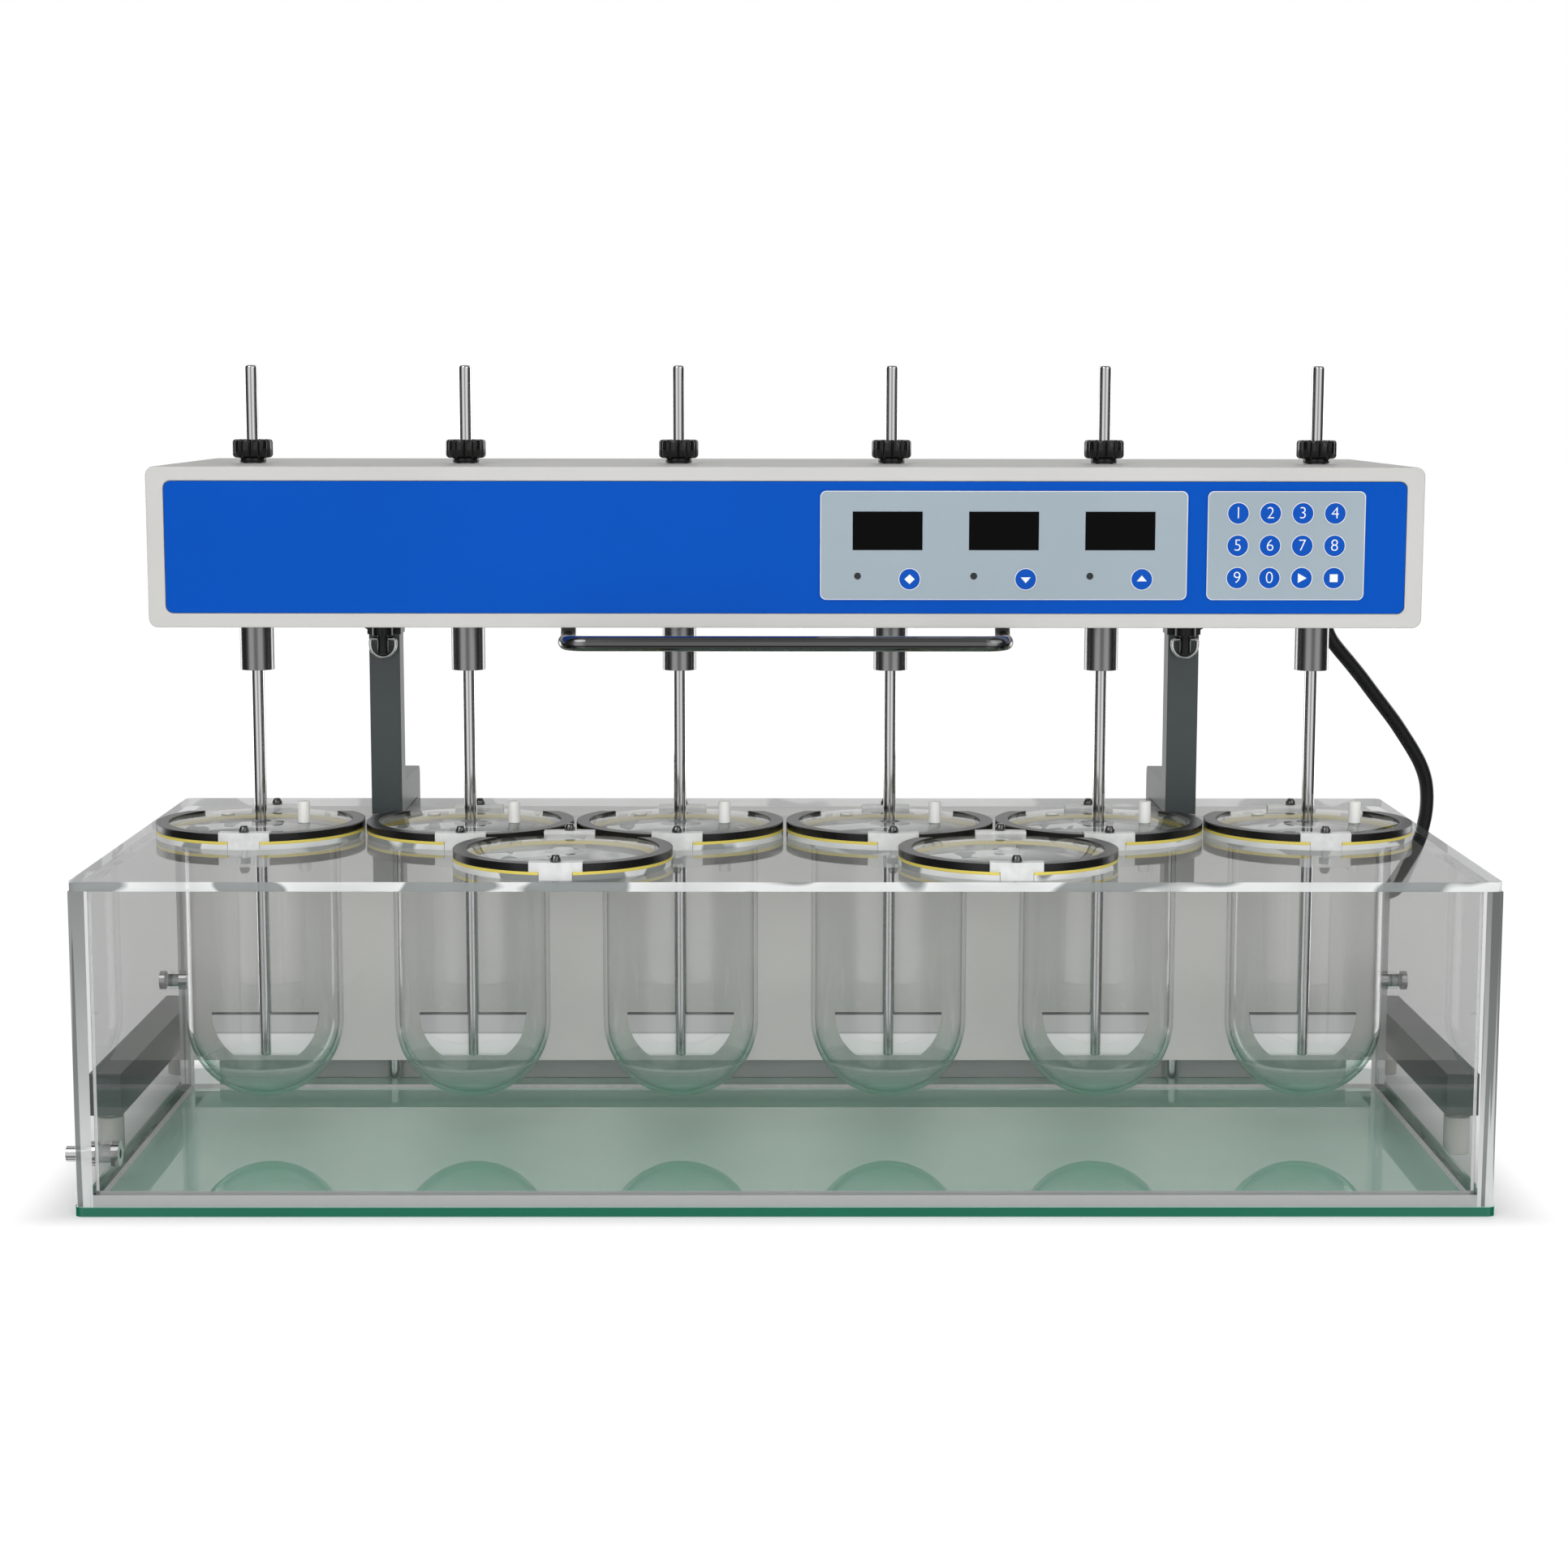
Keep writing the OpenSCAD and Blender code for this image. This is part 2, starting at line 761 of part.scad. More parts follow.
// Stem with a tapered top and a cross hole for the pull ring
module plunger() {
    taper = 4;
    point_d = 5;
    body_h = z_collar_top - plunger_stop - taper - z_plunger;
    difference() {
        translate([0, y_plunger, z_plunger]) {
            cylinder(h = body_h, d = plunger_d);
            translate([0, 0, body_h - eps]) cylinder(h = taper, d1 = plunger_d, d2 = point_d);
        }
        translate([-plunger_d, y_plunger, z_ring]) rotate([0, 90, 0])
            cylinder(h = 2 * plunger_d, d = ring_wire + 2 * run_gap);
    }
}

// Quarter bend of a round rod, from +X to +Y
module rod_bend(r, d) {
    rotate_extrude(angle = 90) translate([r, 0]) circle(d = d);
}

// U of wire whose ends turn into the plunger's cross hole
module pull_ring() {
    leg = ring_w / 2;
    translate([0, y_plunger, z_ring]) rotate([90, 0, 0]) both_sides() {
        translate([0, -ring_drop, 0]) rotate([0, 0, -90]) rod_bend(leg, ring_wire);
        translate([leg, -ring_drop, 0])
            rotate([-90, 0, 0]) cylinder(h = ring_drop - ring_bend, d = ring_wire);
        translate([leg - ring_bend, -ring_bend, 0]) rod_bend(ring_bend, ring_wire);
        translate([ring_end, 0, 0])
            rotate([0, 90, 0]) cylinder(h = leg - ring_bend - ring_end, d = ring_wire);
    }
}

module plunger_at(side) {
    color([0.1, 0.1, 0.1]) translate([side * col_x, 0, 0]) plunger();
}

module pull_ring_at(side) {
    color([0.78, 0.79, 0.8]) translate([side * col_x, 0, 0]) pull_ring();
}

// Middle line's direction at point i, from its neighbours
function lead_way(i) =
    let (
        last = len(lead_route) - 1,
        a = lead_route[max(i - 1, 0)],
        b = lead_route[min(i + 1, last)]
    )
    i == 0 ? [0, 0, -1] : i == last ? [-1, 0, 0] : (b - a) / norm(b - a);

// Ring of points round the middle line at point i
function lead_ring(i) =
    let (
        way = lead_way(i),
        side = cross(way, [0, 1, 0]) / norm(cross(way, [0, 1, 0])),
        rise = cross(way, side)
    )
    [for (k = [0 : lead_sides - 1])
        lead_route[i] + lead_d / 2 * (cos(k * 360 / lead_sides) * side + sin(k * 360 / lead_sides) * rise)];

module head_cable() {
    rings = len(lead_route);
    n = lead_sides;
    points = [for (i = [0 : rings - 1]) each lead_ring(i)];
    sides = [for (i = [0 : rings - 2], k = [0 : n - 1]) each [
        [i * n + k, (i + 1) * n + k, i * n + (k + 1) % n],
        [i * n + (k + 1) % n, (i + 1) * n + k, (i + 1) * n + (k + 1) % n]
    ]];
    first = [for (k = [1 : n - 2]) [0, k, k + 1]];
    base = (rings - 1) * n;
    last = [for (k = [1 : n - 2]) [base, base + k + 1, base + k]];
    color([0.06, 0.06, 0.06]) polyhedron(points, concat(sides, first, last));
}

// Inlet module in the rear cover, with a well for the rocker
module power_inlet() {
    y = y_plate_back + cover_t;
    color([0.08, 0.08, 0.08]) translate([inlet_x, 0, inlet_z]) difference() {
        union() {
            facing(y, inlet_lip) round_rect(inlet_w, inlet_h, inlet_r);
            facing(y - inlet_deep, inlet_deep + eps)
                square([inlet_body_w - 2 * set_gap, inlet_body_h - 2 * set_gap], center = true);
        }
        translate([-rocker_x, 0, 0]) facing(y - socket_deep, socket_deep + inlet_lip + cut)
            round_rect(socket_w, socket_h, inlet_r);
        translate([rocker_x, 0, 0]) facing(y - rocker_well, rocker_well + inlet_lip + cut)
            square([rocker_w + 2 * run_gap, rocker_h + 2 * run_gap], center = true);
    }
}

// Rocker that tilts about its middle, shown switched off
module power_switch() {
    y = y_plate_back + cover_t;
    color([0.12, 0.12, 0.12]) translate([inlet_x + rocker_x, y - rocker_pivot, inlet_z])
        rotate([90, 0, 90]) translate([0, 0, -rocker_w / 2])
            linear_extrude(rocker_w) rotate(-rocker_tilt) difference() {
                intersection() {
                    circle(d = rocker_h);
                    translate([-rocker_back, -rocker_h / 2]) square([rocker_back + rocker_out, rocker_h]);
                }
                translate([rocker_dish, 0]) circle(rocker_out);
            }
}

// Folded case of the head, open at the front, with the lead's gland
module head_shell() {
    mid_z = z_head + head_h / 2;
    color([0.87, 0.87, 0.85]) difference() {
        union() {
            translate([0, 0, mid_z]) facing(y_head, head_d) round_rect(head_w, head_h, head_r);
            translate([lead_start[0], lead_start[1], z_head - gland_h])
                cylinder(h = gland_h + eps, d = gland_d);
        }
        translate([0, 0, mid_z]) facing(y_head + front_t, head_d - front_t - sheet_t)
            round_rect(head_w - 2 * sheet_t, head_h - 2 * sheet_t, head_in_r);
        translate([0, 0, mid_z]) facing(y_head - cut, panel_t + set_gap + cut)
            round_rect(panel_w + 2 * set_gap, panel_h + 2 * set_gap, panel_r);
        translate([0, 0, mid_z]) facing(y_head - cut, front_t + 2 * cut)
            round_rect(panel_w - 2 * panel_ledge, panel_h - 2 * panel_ledge, ledge_r);
        for (x = spindle_x) translate([x, y_row, z_head - cut])
            cylinder(h = head_h + 2 * cut, d = bearing_d + 2 * run_gap);
        translate([lead_start[0], lead_start[1], z_head - gland_h - cut])
            cylinder(h = gland_h + sheet_t + 2 * cut, d = lead_d + 2 * run_gap);
    }
}

module front_panel() {
    color([0, 0.35, 0.8]) translate([0, 0, z_head + head_h / 2])
        facing(y_overlay, panel_t) round_rect(panel_w, panel_h, panel_r);
}

// Places of the keys on the two overlays
display_keys = [for (i = [-1 : 1]) [display_x + i * window_step + key_shift, overlay_z - key_down]];
number_keys = [for (row = [-1 : 1], col = [-1.5 : 1.5])
    [keypad_x + col * key_step, overlay_z - row * key_step]];
window_x = [for (i = [-1 : 1]) display_x + i * window_step];

// Printed films with embossed keys, glued on the front panel
module control_overlay() {
    y = y_overlay - overlay_t;
    color([0.66, 0.71, 0.75]) {
        difference() {
            translate([display_x, 0, overlay_z])
                facing(y, overlay_t) round_rect(display_w, overlay_h, overlay_r);
            for (x = window_x) translate([x, 0, overlay_z + window_up]) facing(y - cut, overlay_t + 2 * cut)
                square([window_w + 2 * run_gap, window_h + 2 * run_gap], center = true);
        }
        translate([keypad_x, 0, overlay_z]) facing(y, overlay_t) round_rect(keypad_w, overlay_h, overlay_r);
        for (key = concat(display_keys, number_keys)) translate([key[0], 0, key[1]])
            facing(y - key_lift, key_lift + eps) circle(d = key_d);
    }
}

module display_windows() {
    color([0.03, 0.03, 0.03]) for (x = window_x) translate([x, 0, overlay_z + window_up])
        facing(y_overlay - window_t, window_t) square([window_w, window_h], center = true);
}

// Bent rod: the bar, two bends, two legs and two ends that turn up to the head
module lift_handle() {
    bend = 14;
    rise = z_head - handle_rod / 2 - set_gap - handle_gap;
    up = z_head - rise;
    half = handle_w / 2 - handle_rod / 2;
    y_bar = y_head - handle_reach;
    y_end = y_head + handle_in;
    color([0.6, 0.61, 0.62]) {
        translate([-half + bend, y_bar, rise])
            rotate([0, 90, 0]) cylinder(h = 2 * (half - bend), d = handle_rod);
        both_sides() {
            translate([half - bend, y_bar + bend, rise]) rotate([0, 0, -90]) rod_bend(bend, handle_rod);
            translate([half, y_bar + bend, rise]) rotate([-90, 0, 0])
                cylinder(h = y_end - up - y_bar - bend, d = handle_rod);
            translate([half, y_end - up, rise + up]) rotate([90, 0, 90])
                rotate([0, 0, -90]) rod_bend(up, handle_rod);
        }
    }
}

module inner_posts() {
    half = post_w / 2;
    color([0.7, 0.71, 0.72]) both_sides() translate([col_x, y_post, z_head - lift_post])
        block([-half, -half, 0], [half, half, lift_post]);
}

// Flanged bearing, standing in a sheet from its outer face
module bearing() {
    difference() {
        union() {
            cylinder(h = sheet_t + bearing_h, d = bearing_d);
            translate([0, 0, sheet_t]) cylinder(h = bearing_h, d = bearing_flange_d);
        }
        translate([0, 0, -cut]) cylinder(h = sheet_t + bearing_h + 2 * cut, d = spindle_d + 2 * run_gap);
    }
}

// Bearings in the head's floor and roof
module spindle_bearings() {
    color([0.7, 0.71, 0.72]) for (x = spindle_x) translate([x, y_row, 0]) {
        translate([0, 0, z_head]) bearing();
        translate([0, 0, z_top]) mirror([0, 0, 1]) bearing();
    }
}

motor_gap = 3;
z_motor = z_pulley + pulley_h + motor_gap;
motor_bore = 30;
motor_end = 2;

// Motor hung from the head's roof, between the two middle spindles
module drive_motor() {
    half = motor_w / 2;
    color([0.2, 0.2, 0.21]) difference() {
        block([-half, y_row - half, z_motor], [half, y_row + half, z_top - sheet_t]);
        translate([0, y_row, z_motor - cut])
            cylinder(h = motor_bore + cut, d = motor_shaft_d + 2 * run_gap);
    }
}

// Flanged pulley, with its middle run for the belt
module pulley() {
    for (z = [0, pulley_h - pulley_lip]) translate([0, 0, z_pulley + z])
        cylinder(h = pulley_lip, d = pulley_d + pulley_rim);
    translate([0, 0, z_pulley]) cylinder(h = pulley_h, d = pulley_d);
}

module motor_pulley() {
    color([0.75, 0.76, 0.77]) translate([0, y_row, 0]) {
        pulley();
        translate([0, 0, z_pulley - motor_end])
            cylinder(h = z_motor + motor_bore - z_pulley, d = motor_shaft_d);
    }
}

// Outline of the belt's loop round the row of pulleys
module belt_loop(r) {
    reach = spindle_x[spindle_count - 1];
    square([2 * reach, 2 * r], center = true);
    for (side = [-1, 1]) translate([side * reach, 0]) circle(r);
}

module drive_belt() {
    z = z_pulley + pulley_lip + set_gap;
    r = pulley_d / 2 + set_gap;
    color([0.1, 0.1, 0.1]) translate([0, y_row, z]) linear_extrude(pulley_h - 2 * (pulley_lip + set_gap))
        difference() {
            belt_loop(r + belt_t);
            belt_loop(r);
        }
}

// Hollow spindle with its sleeve below the head and its pulley inside
module spindle(i) {
    spindle_h = z_spindle_top - z_sleeve;
    color([0.75, 0.76, 0.77]) translate([spindle_x[i - 1], y_row, 0]) difference() {
        union() {
            translate([0, 0, z_sleeve]) {
                cylinder(h = sleeve_drop - set_gap, d = sleeve_d);
                cylinder(h = spindle_h, d = spindle_d);
            }
            pulley();
        }
        translate([0, 0, z_sleeve - cut]) cylinder(h = spindle_h + 2 * cut, d = shaft_bore);
    }
}

// Stirring shaft with its paddle
module shaft(i) {
    blade_r = blade_w / 2;
    tip = shaft_d / 2;
    color([0.78, 0.79, 0.8]) translate([spindle_x[i - 1], y_row, 0]) {
        translate([0, 0, z_blade]) cylinder(h = z_top + shaft_over - tip - z_blade, d = shaft_d);
        translate([0, 0, z_top + shaft_over - tip]) sphere(tip);
        translate([0, 0, z_blade + blade_h]) facing(-blade_t / 2, blade_t) intersection() {
            circle(blade_r);
            translate([-blade_r, -blade_h]) square([2 * blade_r, blade_h]);
        }
    }
}

// Fluted clamp knob on the spindle's top
module knob(i) {
    flute_r = 1.6;
    grip_z = z_knob + knob_neck_h;
    color([0.05, 0.05, 0.05]) translate([spindle_x[i - 1], y_row, 0]) difference() {
        union() {
            translate([0, 0, z_knob]) cylinder(h = knob_neck_h + eps, d = knob_neck_d);
            translate([0, 0, grip_z]) linear_extrude(knob_h) difference() {
                circle(d = knob_d);
                for (k = [0 : knob_flutes - 1]) rotate(k * 360 / knob_flutes)
                    translate([knob_d / 2 + flute_r / 2, 0]) circle(flute_r, $fn = 24);
            }
        }
        translate([0, 0, z_knob - cut]) {
            cylinder(h = z_spindle_top + run_gap - z_knob + cut, d = spindle_d + 2 * run_gap);
            cylinder(h = knob_neck_h + knob_h + 2 * cut, d = shaft_bore);
        }
    }
}

// Clear lid with its shaft hole and slit; those on vessels carry a stopper and a plug
module lid(i) {
    at = stations[i - 1];
    has_stopper = i <= spindle_count;
    stem = stopper_stem_d;
    translate([at[0], at[1], z_lid]) {
        color([0.88, 0.9, 0.9, 0.4]) difference() {
            cylinder(h = lid_t, d = lid_od);
            translate([0, 0, -cut]) cylinder(h = lid_t + 2 * cut, d = lid_hole_d);
            rotate(slit_angle) translate([0, -slit_w / 2, -cut]) cube([lid_od, slit_w, lid_t + 2 * cut]);
            if (has_stopper) for (p = [stopper_at, plug_at])
                translate([p[0], p[1], -cut]) cylinder(h = lid_t + 2 * cut, d = stem + 2 * run_gap);
        }
        if (has_stopper) color([0.95, 0.95, 0.94]) {
            translate([stopper_at[0], stopper_at[1], 0]) {
                cylinder(h = lid_t + eps, d = stem);
                translate([0, 0, lid_t]) cylinder(h = stopper_h, d = stopper_d);
            }
            translate([plug_at[0], plug_at[1], 0]) {
                cylinder(h = lid_t + eps, d = stem);
                translate([0, 0, lid_t]) cylinder(h = plug_h, d = plug_d);
            }
        }
    }
}

base_glass();
water_tank();
cover_plate();
rear_housing();
rear_cover();
bath_heater();
base_frame();
support_columns();
levelling_feet();
tank_fittings();
seat_rings();
gaskets();
rim_rings();
rim_clamps();
clamp_screws();
vessels();
lock_collars();
head_cable();
power_inlet();
power_switch();
head_shell();
front_panel();
control_overlay();
display_windows();
lift_handle();
inner_posts();
spindle_bearings();
drive_motor();
drive_belt();
motor_pulley();
plunger_at(-1);  // plunger_left
plunger_at(1);  // plunger_right
pull_ring_at(-1);  // pull_ring_left
pull_ring_at(1);  // pull_ring_right
for (i = [1 : spindle_count]) {
    spindle(i);
    shaft(i);
    knob(i);
}
for (i = [1 : len(stations)]) {
    lid(i);
}
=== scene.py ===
import math

import bmesh
import bpy
from mathutils import Matrix, Vector


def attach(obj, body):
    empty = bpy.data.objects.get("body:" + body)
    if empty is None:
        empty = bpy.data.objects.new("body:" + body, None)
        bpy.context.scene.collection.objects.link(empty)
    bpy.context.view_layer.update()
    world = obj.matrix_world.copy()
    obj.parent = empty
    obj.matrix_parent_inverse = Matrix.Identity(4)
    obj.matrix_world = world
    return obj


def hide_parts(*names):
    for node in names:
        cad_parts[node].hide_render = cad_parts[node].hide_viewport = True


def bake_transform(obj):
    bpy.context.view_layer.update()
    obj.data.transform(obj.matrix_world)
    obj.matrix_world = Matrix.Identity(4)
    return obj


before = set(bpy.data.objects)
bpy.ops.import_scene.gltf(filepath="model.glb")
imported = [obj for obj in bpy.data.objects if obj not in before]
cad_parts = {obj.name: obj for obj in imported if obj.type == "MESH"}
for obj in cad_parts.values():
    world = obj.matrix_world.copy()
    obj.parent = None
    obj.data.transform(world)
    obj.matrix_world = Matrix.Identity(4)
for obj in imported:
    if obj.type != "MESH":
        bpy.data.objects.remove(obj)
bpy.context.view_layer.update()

bl_info = {
    "name": "Dissolution tester",
    "version": (1, 0, 0),
    "blender": (4, 5, 0),
    "location": "View3D > Sidebar > Tester",
    "description": "Builds the looks of a bench dissolution tester round its CAD frame",
    "category": "Object",
}

MM = 0.001

# Places and sizes in millimetres, as in the part's source

PITCH = 145.0
Y_ROW = -3.0
Y_FRONT_ROW = -127.0
SPINDLE_X = [(i - 2.5) * PITCH for i in range(6)]
STATIONS = [(x, Y_ROW) for x in SPINDLE_X] + [(-PITCH, Y_FRONT_ROW), (PITCH, Y_FRONT_ROW)]
VESSELS = len(SPINDLE_X)

# Tank: half its inner width, its inner faces, the base glass's top and the plate's faces
TANK_X, TANK_FRONT, TANK_BACK = 440.0, -193.0, 121.0
Z_BASE, Z_UNDER_PLATE, Z_PLATE = 6.0, 209.0, 215.0
FOOT_BAND = 13.6
EDGE_MARGIN = 0.2

# Grey strip under the housing, put there as painted shade for the dark gap beneath it: middle height, width,
# height, corner, front face and thickness
SHADE_STRIP_Z, SHADE_STRIP_W, SHADE_STRIP_H, SHADE_STRIP_CORNER, SHADE_STRIP_Y, SHADE_STRIP_D = 15, 850, 17.6, 1.5, 152, 2

# Vessels: radii, the bowl's centre and the flange, and the height up to which green light from the base is
# painted
VESSEL_R, VESSEL_BORE, FLANGE_R = 54.0, 51.0, 62.0
Z_BOWL, Z_FLANGE = 85.0, 218.5
Z_GLOW = 80.0

# Lids: bore, radius, thickness, seat, and the slot in degrees
LID_BORE, LID_R, LID_T, Z_LID = 7, 62.5, 4, 220.5
LID_START, LID_TURN = 207.6, 358.8
STOPPER_PLACE, PLUG_PLACE, STOPPER_SEAT = (31, -8), (-29, 33), 0.02

# Clamp screws: seat, distance from the station's middle, and the nut's faces below the seat
Z_CLAMP, SCREW_OUT, NUT_TOP, NUT_LOW = 226.5, 67.3, -17, -21

# Shafts and blades
SHAFT_R, SHAFT_TOP = 4.25, 537
Z_BLADE, Z_BLADE_TOP, BLADE_R, BLADE_T = 59.0, 89.0, 37.25, 4

# Knobs: neck outline, and levels of the grip as radius, share of the groove and height
KNOB_NECK = [(4.4, 471.3), (9, 471.3), (9, 474.6), (4.4, 474.6)]
KNOB_LEVELS = [
    (4.4, 0.0, 474.5), (11.6, 0.2, 474.5), (12.9, 0.9, 475.3), (13.5, 1.0, 476.6), (13.5, 1.0, 485.2),
    (12.9, 0.9, 486.5), (11.6, 0.2, 487.0), (6.2, 0.0, 487.0), (5.8, 0.0, 486.2), (4.4, 0.0, 486.2),
]
KNOB_SIDES, KNOB_GROOVES, GROOVE_DEEP = 144, 12, 1.3

# Overlay film: its face and middle height, the two fields, and the steps of the displays and keys
Y_FILM, FILM_Z, FILM_H, FILM_CORNER = -95.9, 420.0, 71, 4
DISPLAY_X, DISPLAY_W, KEYPAD_X, KEYPAD_W = 142.5, 240.0, 327.0, 103.0
WINDOW_STEP, KEY_STEP = 76.0, 21.1
ARROW_PLACE, DOT_PLACE = (14.5, -22), (-19.5, -20)
KEY_R, KEY_RING_R, DOT_R = 6.75, 7.25, 2.3
KEY_PROUD, PRINT_T, CAP_T = 0.35, 0.06, 0.08
NUMERAL_T, NUMERAL_THINNER = 0.02, 0.16
NUMERAL_OUT, BORDER_OUT, DOT_T = 0.1, 0.05, 0.07
BORDER_W, BORDER_CORNER = 1, 3.6

# Signs on the keys: start, stop, set, down and up
SIGNS = (
    ((-2.4, -3.2), (3.4, 0), (-2.4, 3.2)),
    ((-2.6, -2.6), (2.6, -2.6), (2.6, 2.6), (-2.6, 2.6)),
    ((-3.4, 0), (0, -3.2), (3.4, 0), (0, 3.2)),
    ((-3.3, 1.3), (0, -2.6), (3.3, 1.3)),
    ((-3.3, -1.3), (3.3, -1.3), (0, 2.6)),
)

# Head lead, from the head's gland to the housing's
LEAD_R, LEAD_SIDES, LEAD_STEPS = 5.0, 28, 6
LEAD_ROUTE = [
    (394, 118, 364), (394, 118, 356.5), (395.3, 118.5, 349), (399, 120, 341), (404.5, 122, 334),
    (414, 126, 323.5), (424, 130, 312), (433, 134, 301), (443, 138.5, 289), (452, 142.5, 278),
    (460, 146, 267), (468, 149.5, 255.5), (474.5, 152.5, 244.5), (479, 155, 233), (481, 157, 221),
    (481, 158, 209), (479.5, 159, 198), (477, 160, 187), (473.5, 160, 176.5), (469, 159.5, 166),
    (464, 158.5, 155), (460.3, 158, 149.7), (455.5, 158, 147), (450, 158, 146), (442, 158, 146),
]

# Stage: the photograph's frame in pixels, and the room that mirrors show as (place, level).
# The turn goes from the front, 0, to the back, 1, and the rise from below, 0, to above, 1.
FRAME_PX, SENSOR_MM = 1932.0, 36.0
ROOM_TURN = [(0.0, 0.14), (0.05, 0.14), (0.1, 0.31), (0.24, 0.31), (0.31, 0.07), (0.4, 0.017), (0.67, 0.02),
             (0.71, 1.0), (0.775, 1.0)]
ROOM_BACK = (0.8, 1.0)
ROOM_RISE = [(0.0, 0.55), (0.06, 0.6), (0.146, 0.3), (0.19, 0.05), (0.22, 0.05), (0.28, 0.5), (0.36, 0.9),
             (0.42, 1.0), (0.66, 1.0), (0.8, 0.5), (0.95, 0.45), (1.0, 0.25)]
FLOOR_X, FLOOR_FRONT, FLOOR_BACK, FLOOR_Z = 9, -6, 12, -0.0004
FLOOR_WHITE, FLOOR_BARE, FLOOR_UNDER = 1.03, 0.985, 0.3
SHADOW_EDGES = (("X", 0.455, 0.5), ("Y", 0.2, 0.235))

# Lamps: setting, size, place, the point that it looks at, and whether mirrors show it
LAMPS = (
    ("key", 1.6, (-1.1, -1.5, 2.1), (0, -0.05, 0.3), True),
    ("fill", 1.8, (1.5, -1.2, 1.5), (0, 0, 0.25), True),
    ("front", 2.2, (0, -2.6, 0.25), (0, 0, 0.2), False),
    ("back", 2.0, (0.6, 2.4, 1.3), (0, 0, 0.25), False),
)


# Meshes

def finish_mesh(name, vertices, faces, angle=35.0):
    """A smooth mesh in metres from millimetre points, with edges sharper than the angle kept crisp."""
    mesh = bpy.data.meshes.new(name)
    mesh.from_pydata([(x * MM, y * MM, z * MM) for x, y, z in vertices], [], faces)
    mesh.validate()
    bm = bmesh.new()
    bm.from_mesh(mesh)
    bmesh.ops.recalc_face_normals(bm, faces=bm.faces)
    bm.to_mesh(mesh)
    bm.free()
    mesh.polygons.foreach_set("use_smooth", [True] * len(mesh.polygons))
    mesh.set_sharp_from_angle(angle=math.radians(angle))
    return mesh


def show(mesh, name, material, body, replaces=()):
    """A piece of the object: it rides on its body and stands for the nodes that it replaces."""
    piece = bpy.data.objects.new(name, mesh)
    bpy.context.scene.collection.objects.link(piece)
    mesh.materials.clear()
    mesh.materials.append(material)
    if body:
        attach(piece, body)
    if replaces:
        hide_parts(*replaces)
    return piece


def dress(material, *nodes):
    """Gives CAD nodes a material in place of their own."""
    for name in nodes:
        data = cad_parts[name].data
        data.materials.clear()
        data.materials.append(material)


def sweep_round(outline, place=(0, 0, 0), sides=96, start=0.0, turn=360.0, closed=False):
    """Turns an outline of (r, z) points round the z axis. A closed outline joins its ends, and with less
    than a full turn it is capped."""
    whole = turn > 359.99
    count = sides if whole else sides + 1
    rings, vertices, faces = [], [], []
    for i in range(count):
        angle = math.radians(start + turn * i / sides)
        ring = []
        for r, z in outline:
            if abs(r) < 1e-6 and rings and whole:
                ring.append(rings[0][len(ring)])
                continue
            ring.append(len(vertices))
            vertices.append((place[0] + r * math.cos(angle), place[1] + r * math.sin(angle), place[2] + z))
        rings.append(ring)
    spans = len(outline) if closed else len(outline) - 1
    for i in range(count if whole else count - 1):
        a, b = rings[i], rings[(i + 1) % count]
        for k in range(spans):
            n = (k + 1) % len(outline)
            face = []
            for v in (a[k], b[k], b[n], a[n]):
                if v not in face:
                    face.append(v)
            if len(face) > 2:
                faces.append(face)
    if not whole and closed:
        faces += [rings[0][::-1], rings[-1]]
    return vertices, faces


def joined(*parts):
    """Several (vertices, faces) as one."""
    vertices, faces = [], []
    for more, more_faces in parts:
        base = len(vertices)
        vertices += more
        faces += [[v + base for v in face] for face in more_faces]
    return vertices, faces


def rounded(points, radius, steps=4):
    """An open outline with its inner corners rounded."""
    out = [points[0]]
    for before, corner, after in zip(points, points[1:], points[2:]):
        c = Vector(corner)
        to_before, to_after = Vector(before) - c, Vector(after) - c
        cut = min(radius, to_before.length * 0.45, to_after.length * 0.45)
        a, b = c + to_before.normalized() * cut, c + to_after.normalized() * cut
        for i in range(steps + 1):
            t = i / steps
            out.append(tuple(a * (1 - t) ** 2 + c * 2 * t * (1 - t) + b * t ** 2))
    return out + [points[-1]]


def smooth_line(points, steps):
    """A finer line through the points, by cubic segments."""
    ends = [tuple(2 * a - b for a, b in zip(points[0], points[1]))]
    ends += list(points) + [tuple(2 * a - b for a, b in zip(points[-1], points[-2]))]

    def between(a, b, c, d, t):
        square, cube = 2 * a - 5 * b + 4 * c - d, 3 * b - a - 3 * c + d
        return 0.5 * (2 * b + (c - a) * t + square * t * t + cube * t ** 3)

    line = []
    for four in zip(ends, ends[1:], ends[2:], ends[3:]):
        for i in range(steps):
            line.append(tuple(between(*values, i / steps) for values in zip(*four)))
    return line + [tuple(points[-1])]


def tube(line, radius, sides=24):
    """A round tube along a line, with its ends closed."""
    points = [Vector(p) for p in line]
    side = Vector((0, 1, 0))
    vertices, faces = [], []
    for i, p in enumerate(points):
        way = (points[min(i + 1, len(points) - 1)] - points[max(i - 1, 0)]).normalized()
        side = (side - way * side.dot(way)).normalized()
        other = way.cross(side)
        for k in range(sides):
            angle = 2 * math.pi * k / sides
            vertices.append(tuple(p + radius * (math.cos(angle) * side + math.sin(angle) * other)))
    for i in range(len(points) - 1):
        for k in range(sides):
            n = (k + 1) % sides
            faces.append([i * sides + k, i * sides + n, (i + 1) * sides + n, (i + 1) * sides + k])
    last = (len(points) - 1) * sides
    faces += [list(range(sides))[::-1], [last + k for k in range(sides)]]
    return vertices, faces


